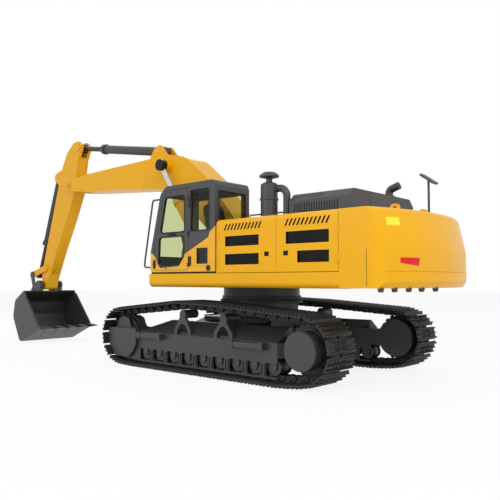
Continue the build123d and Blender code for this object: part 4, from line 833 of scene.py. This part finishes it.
def tail_patch(corners, lift, rows=8, columns=18):
    """Patch between four (angle in degrees, height) corners: both run evenly between opposite corners,
    and the lift falls to under the face along the rim."""
    (a0, z0), (a1, z1), (a2, z2), (a3, z3) = corners
    u, v = np.meshgrid(np.linspace(0, 1, columns), np.linspace(0, 1, rows))
    angle = np.radians((a0 * (1 - u) + a1 * u) * (1 - v) + (a3 * (1 - u) + a2 * u) * v)
    z = (z0 * (1 - u) + z1 * u) * (1 - v) + (z3 * (1 - u) + z2 * u) * v
    rim = (u == 0) | (u == 1) | (v == 0) | (v == 1)
    radius = tail_profile(z) + np.where(rim, -0.008, lift)
    points = np.stack([-radius * np.cos(angle), radius * np.sin(angle), z], -1)
    return points.reshape(-1, 3), grid_faces(rows, columns)


put("tail_sign_plate", *tail_patch([(20.9, 2.378), (16.7, 2.388), (16.9, 2.515), (21.0, 2.513)], 0.004),
    "sign_yellow", "upperstructure")
reflector_corners = [(18.2, 1.860), (12.1, 1.812), (11.6, 1.950), (18.25, 1.944)]
put("tail_reflector", *tail_patch(reflector_corners, 0.010), "red_reflector", "upperstructure")
seam_x, seam_foot_x = -3.15, -3.19
seam_lines = [tube([(seam_foot_x, side * body_side, 1.53), (seam_foot_x, side * body_side, 2.02),
                    (seam_x, side * 1.472, 2.60)], 0.0035, 6) for side in (-1, 1)]
put("tail_seams", *joined(seam_lines), "rubber", "upperstructure")
stud_radius, stud_z = 3.62, 1.51
stud_angles = np.radians([22.55, 18.67, 14.26, 9.73, 3.88])
stud_feet = np.stack([-stud_radius * np.cos(stud_angles), stud_radius * np.sin(stud_angles),
                      np.full_like(stud_angles, stud_z)], -1)
stud_form = turned([(0, 0), (0.045, 0), (0.045, 0.028), (0.038, 0.032), (0.038, 0.052), (0.030, 0.058),
                    (0, 0.058)], 12)
put("tail_studs", *many(*stud_form, stud_feet, np.tile([0, 0, -1], (len(stud_feet), 1))),
    "charcoal_paint", "upperstructure")

# %% [markdown]
# ## Cab trim
# Rubber seals run round every pane and a painted rim frames the air vent. A seal is a tube along a rounded
# outline in the plane of its wall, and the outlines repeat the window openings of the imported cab.

# %% Window seals and vent rim
door_windows = [[(0.545, 2.50, 0.04), (1.225, 2.50, 0.06), (1.075, 3.165, 0.08), (0.545, 3.165, 0.06)],
                [(0.56, 2.06, 0.06), (0.70, 1.89, 0.06), (1.27, 1.89, 0.06), (1.25, 2.42, 0.06),
                 (0.56, 2.42, 0.06)]]
seal_radius = 0.011


def side_loop(corners, y, radius):
    """Tube round a side opening: the rounded outline in X and Z, at one Y."""
    outline = rounded(corners)
    return tube(np.insert(outline, 1, y, axis=1), radius, 8, closed=True)


def rear_loop(corners, x, radius):
    """Tube round a rear or front opening: the rounded outline in Y and Z, at one X."""
    outline = rounded(corners)
    return tube(np.insert(outline, 0, x, axis=1), radius, 8, closed=True)


door_seals = [side_loop(corners, body_side + 0.001, seal_radius) for corners in door_windows]
put("door_seals", *joined(door_seals), "rubber", "cab_door_body", smooth=True)
quarter = oblong((-0.08, 2.50), (0.385, 3.23), 0.03)
rear_pane = oblong((0.72, 2.64), (1.40, 3.18), 0.03)
right_pane = oblong((-0.06, 2.33), (1.12, 3.19), 0.03)
cab_seals = [side_loop(quarter, body_side + 0.001, seal_radius), rear_loop(rear_pane, -0.227, seal_radius),
             side_loop(right_pane, 0.614, 0.008)]
put("cab_seals", *joined(cab_seals), "rubber", "upperstructure", smooth=True)
vent_rim = [(-0.085, 1.875, 0.03), (0.265, 1.875, 0.03), (0.265, 2.165, 0.03), (0.20, 2.225, 0.03),
            (-0.085, 2.225, 0.03)]
put("cab_vent_rim", *side_loop(vent_rim, body_side, 0.007), "yellow_paint", "upperstructure", smooth=True)

# %% [markdown]
# The door's handle is a bent bar over a plate, the tank has a round cap, and a tall oval lamp sits by the
# door's front edge. They are small, so a tube and two turned forms are enough. The lamp is a round form
# stretched upwards about its own middle.

# %% Handle, caps and the cab's lamp
handle_corners = [(0.80, 2.448, 0.015), (0.98, 2.448, 0.015), (0.98, 2.478, 0.014), (0.80, 2.478, 0.014)]
handle_plate = side_loop(handle_corners, body_side + 0.004, 0.008)
handle_z = 2.463
# The bar's route as x and distance from the door.
handle_route = [(0.80, 0), (0.81, 0.035), (0.84, 0.042), (0.94, 0.042), (0.97, 0.035), (0.98, 0)]
handle_bar = tube([(x, body_side + out, handle_z) for x, out in handle_route], 0.011)
put("cab_door_handle", *joined([handle_plate, handle_bar]), "rubber", "cab_door_body", smooth=True)
cap_form = turned([(0, -0.004), (0.052, -0.004), (0.052, 0.008), (0.040, 0.014), (0.034, 0.008), (0, 0.010)],
                  24)
put("tank_cap", *many(*cap_form, [(-0.069, body_side, 1.837)], [(0, 1, 0)]), "rubber",
    "upperstructure", smooth=True)
lamp_z, lamp_stretch = 1.925, 2.2
lamp_form = turned([(0, -0.004), (0.040, -0.004), (0.040, 0.012), (0.030, 0.018), (0, 0.020)], 20)
lamp_points, lamp_faces = many(*lamp_form, [(1.385, body_side, lamp_z)], [(0, 1, 0)])
lamp_points[:, 2] = lamp_z + (lamp_points[:, 2] - lamp_z) * lamp_stretch
put("door_marker_lamp", lamp_points, lamp_faces, "rubber", "cab_door_body", smooth=True)
door_bolts = [(1.053, body_side, 1.836), (0.948, body_side, 3.235)]
put("cab_bolts", *many(*bolt_head(0.013, 0.010), door_bolts, [(0, 1, 0)] * len(door_bolts)), "rubber",
    "cab_door_body")

# %% [markdown]
# ## Door louvres
# Above the grilles the doors have a row of slanted slots that lean to the tail as they rise. A thin
# pressed panel carries them, and each slot is a dark rounded pad of painted shade that stands barely proud of
# the panel: at this distance its black face reads as the shade in a hole, and the door's mesh stays as
# packed.

# %% Louvre panels
louvre_z, louvre_half, lean, slot_half = 2.513, 0.055, 0.030, 0.017
panel_low_z, panel_high_z, panel_end = 2.440, 2.580, 0.06
# The doors' columns: name, low x, side, first slot's middle from low x, spacing, slots, body.
for name, low_x, side, first, spacing, count, body in (
        ("front", -1.572, 1, 0.330, 0.0756, 11, "left_front_door_body"),
        ("rear", -2.727, 1, 0.175, 0.076, 11, "left_rear_door_body"),
        ("right", -2.727, -1, 0.175, 0.076, 11, "right_rear_door_body")):
    slot_middles = low_x + first + np.arange(count) * spacing
    panel_low = (slot_middles[0] - panel_end, panel_low_z)
    panel_high = (slot_middles[-1] + panel_end, panel_high_z)
    panel = raised_pad(oblong(panel_low, panel_high, 0.015), body_side, body_side + 0.003, side, 0.002)
    put(f"louvre_panel_{name}", *panel, "yellow_paint", body)
    slots = []
    for middle_x in slot_middles:
        corners = [(middle_x + tilt * lean + across * slot_half, louvre_z - tilt * louvre_half, 0.008)
                   for tilt, across in ((1, -1), (1, 1), (-1, 1), (-1, -1))]
        slots.append(raised_pad(corners, body_side, body_side + 0.0042, side, 0.001))
    # Each black pad is painted shade for the depth of its slot.
    put(f"louvre_slot_shades_{name}", *joined(slots), "recess_black", body)

# %% [markdown]
# Two blocks cover the cab door's hinges, and a black seal runs round the cab's floor where the cab stands
# on the deck. The covers are raised pads, and the seal is a closed tube.

# %% Hinge covers and the cab's floor seal
cover_half_height = 0.085
covers = [raised_pad(oblong((0.372, z - cover_half_height), (0.434, z + cover_half_height), 0.012),
                     body_side, body_side + 0.022, 1, 0.008) for z in (1.965, 3.01)]
put("cab_hinge_covers", *joined(covers), "rubber", "upperstructure")
seal_z = 1.759
seal_route = [(x, y, seal_z) for x, y in ((-0.20, 0.64), (1.48, 0.64), (1.48, 1.478), (-0.20, 1.478))]
put("cab_floor_seal", *tube(seal_route, 0.0163, 12, closed=True), "rubber", "upperstructure",
    smooth=True)

# %% [markdown]
# ## Operator's place
# The seat is foam under cloth, so it is modelled as crowned cushions: a closed super-ellipsoid whose
# sides pull in between its corners, with sewn channels pressed in across it. Its CAD solid is replaced.
# A bellows carries it, and each console gets a joystick.

# %% Cushions
seat_y = 1.0575


def cushion(name, middle, half, tilt, channels, crown=0.25):
    """Closed pad: x, y and z are half sizes times a signed root of the sphere's cosine and sine, which
    squares the ball, less a cosine groove where a sewn channel crosses it; then tilted about Y."""
    rows, columns = 49, 64
    turn = np.linspace(-np.pi, np.pi, columns, endpoint=False)
    u, v = np.meshgrid(turn, np.linspace(-np.pi / 2, np.pi / 2, rows))
    root = 0.32
    ball = [np.cos(v) * np.cos(u), np.cos(v) * np.sin(u), np.sin(v)]
    shape = [np.sign(part) * np.abs(part) ** root for part in ball]
    poles = np.abs(np.cos(v)) < 1e-9
    shape[0][poles] = 0
    shape[1][poles] = 0
    length, width, thick = half[0] * shape[0], half[1] * shape[1], half[2] * shape[2]
    bulge = 1 - crown * ((length / half[0]) ** 2 + (width / half[1]) ** 2) / 2
    groove = sum(np.exp(-((length - place) / 0.012) ** 2) for place in channels)
    thick = thick * bulge * (1 - 0.16 * groove)
    x = middle[0] + length * math.cos(tilt) + thick * math.sin(tilt)
    z = middle[2] - length * math.sin(tilt) + thick * math.cos(tilt)
    points = np.stack([x, middle[1] + width, z], -1)
    piece = put(name, points, grid_faces(rows, columns, wrap_columns=True), "seat_fabric",
                "upperstructure", smooth=True)
    softer = piece.modifiers.new("softer", "SUBSURF")
    softer.levels = softer.render_levels = 1
    return piece


seat_pad = cushion("seat_cushion", (0.455, seat_y, 2.345), (0.275, 0.245, 0.062), math.radians(-3),
                   [-0.09, 0.09])
cushion("seat_back", (0.205, seat_y, 2.70), (0.30, 0.235, 0.060), math.radians(-77), [-0.13, 0.02, 0.16])
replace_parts(seat_pad, "operator_seat")

# %% [markdown]
# The bellows under the seat is a turned profile whose radius goes in and out by a cosine, five folds high.
# Each joystick is a turned grip on a flange. Both are seen only through the glass.

# %% Bellows and joysticks
bellows_low, bellows_high, bellows_folds = 1.822, 2.285, 5
bellows_height = np.linspace(bellows_low, bellows_high, 41)
bellows_turn = (bellows_height - bellows_low) / (bellows_high - bellows_low) * 2 * np.pi * bellows_folds
bellows_size = 0.165 + 0.014 * np.cos(bellows_turn)
bellows_size[[0, -1]] = 0.0
bellows_points, bellows_faces = turned(np.stack([bellows_size, bellows_height], -1), 28)
put("seat_bellows", bellows_points + (0.43, seat_y, 0), bellows_faces, "rubber", "upperstructure",
    smooth=True)
stick_profile = [(0, 0), (0.034, 0), (0.034, 0.012), (0.014, 0.020), (0.012, 0.075), (0.020, 0.095),
                 (0.024, 0.15), (0.020, 0.175), (0, 0.18)]
stick_feet = [(0.66, seat_y - 0.305, 2.505), (0.66, seat_y + 0.305, 2.505)]
put("joysticks", *many(*turned(stick_profile, 16), stick_feet, [(0, 0, 1)] * 2), "console_plastic",
    "upperstructure", smooth=True)

# %% [markdown]
# ## Boom and arm trim
# Weld seams cross the boom's sides where plates meet, bolts sit round its end pin, and four wear strips
# run down the rear face of the arm. All are thin tubes or copied bolts that ride on their own body.

# %% Seams, pin bolts and wear strips
boom_side = 0.290
plate_joints = (((1.907, 3.43), (1.62, 4.06)), ((3.33, 3.72), (2.93, 4.30)), ((5.05, 3.845), (4.95, 4.30)))
seam_lines = [tube([(x, side * boom_side, z) for x, z in ends], 0.005, 6)
              for side in (-1, 1) for ends in plate_joints]
put("boom_weld_seams", *joined(seam_lines), "yellow_paint", "boom_body", smooth=True)
end_pin = (6.37, 4.09)
pin_bolts = [ring_places((end_pin[0], side * 0.312, end_pin[1]), 0.052, 4, (0, 1, 0)) for side in (-1, 1)]
pin_facings = [np.tile([0, side, 0], (4, 1)) for side in (-1, 1)]
put("boom_pin_bolts", *many(*bolt_head(0.012, 0.012), np.concatenate(pin_bolts), np.concatenate(pin_facings)),
    "charcoal_paint", "boom_body")
strip_route = np.array([(7.493, 1.80), (7.142, 2.476), (6.980, 2.75)])
strips = [tube(np.insert(strip_route, 1, y, axis=1), 0.012, 6) for y in (-0.09, -0.03, 0.03, 0.09)]
put("arm_wear_strips", *joined(strips), "yellow_paint", "arm_body", smooth=True)

# %% [markdown]
# ## Hood and roof trim
# The hood's plates meet in thin dark seams, two knobs latch it at the rear, and small bolts hold the roof's
# plates. The seams lie on the hood's own height, so they follow when that height changes.

# %% Hood seams, latches and roof bolts
hood_rear_x = -2.63
hood_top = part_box("engine_hood")[1].z
hood_seams = [tube([(hood_rear_x, y, 2.68), (hood_rear_x, y, hood_top), (-1.49, y, hood_top)], 0.0035, 6)
              for y in (-0.42, 0.42)]
put("hood_seams", *joined(hood_seams), "rubber", "engine_hood_body")
latch_form = turned([(0, 0), (0.036, 0), (0.036, 0.012), (0.022, 0.018), (0.018, 0.030), (0, 0.032)], 16)
latch_feet = [(hood_rear_x, 0.30, 2.76), (hood_rear_x, -0.30, 2.76)]
put("hood_latch", *many(*latch_form, latch_feet, [(-1, 0, 0)] * 2), "rubber", "engine_hood_body",
    smooth=True)
roof_z = 2.66
roof_bolts = [(x, y, roof_z) for x in (-1.40, -0.85, -0.38) for y in (-0.5, 1.35)]
put("roof_bolts", *many(*bolt_head(0.011, 0.010), roof_bolts, [(0, 0, 1)] * len(roof_bolts)),
    "yellow_paint", "upperstructure")

# %% [markdown]
# ## Bucket wear parts
# Cutting plates edge the bucket's sides and wear strips run under its heel. They are weld-on bars, so
# each is a tube of few sides along the side plate's front edge or round the heel.


# %% Side cutters and wear strips
def softened(corners, y, radius):
    """An open route in one plane: its corners (x, z) become arcs of one radius, as in a bent bar."""
    arcs = [bend(*three, radius, 7) for three in zip(corners, corners[1:], corners[2:])]
    return np.insert(np.concatenate([corners[:1], *arcs, corners[-1:]]), 1, y, axis=1)


cutter_y = 0.772
# Routes in x and z: along the side plate's front edge, and from the lip round the heel.
cutter_route = [(7.66, 1.25), (7.20, 0.745), (6.93, 0.45)]
heel_route = [(7.05, 0.300), (7.87, 0.002), (8.20, 0.42)]
cutters = [tube(np.insert(np.array(cutter_route), 1, side * cutter_y, axis=1), 0.020, 4) for side in (-1, 1)]
cutters += [tube(softened(heel_route, y, 0.12), 0.012, 6) for y in (-0.5, -0.17, 0.17, 0.5)]
put("bucket_wear_bars", *joined(cutters), "dark_iron", "bucket_body")
print("pieces added:", len(piece_sizes), "faces:", sum(piece_sizes.values()))
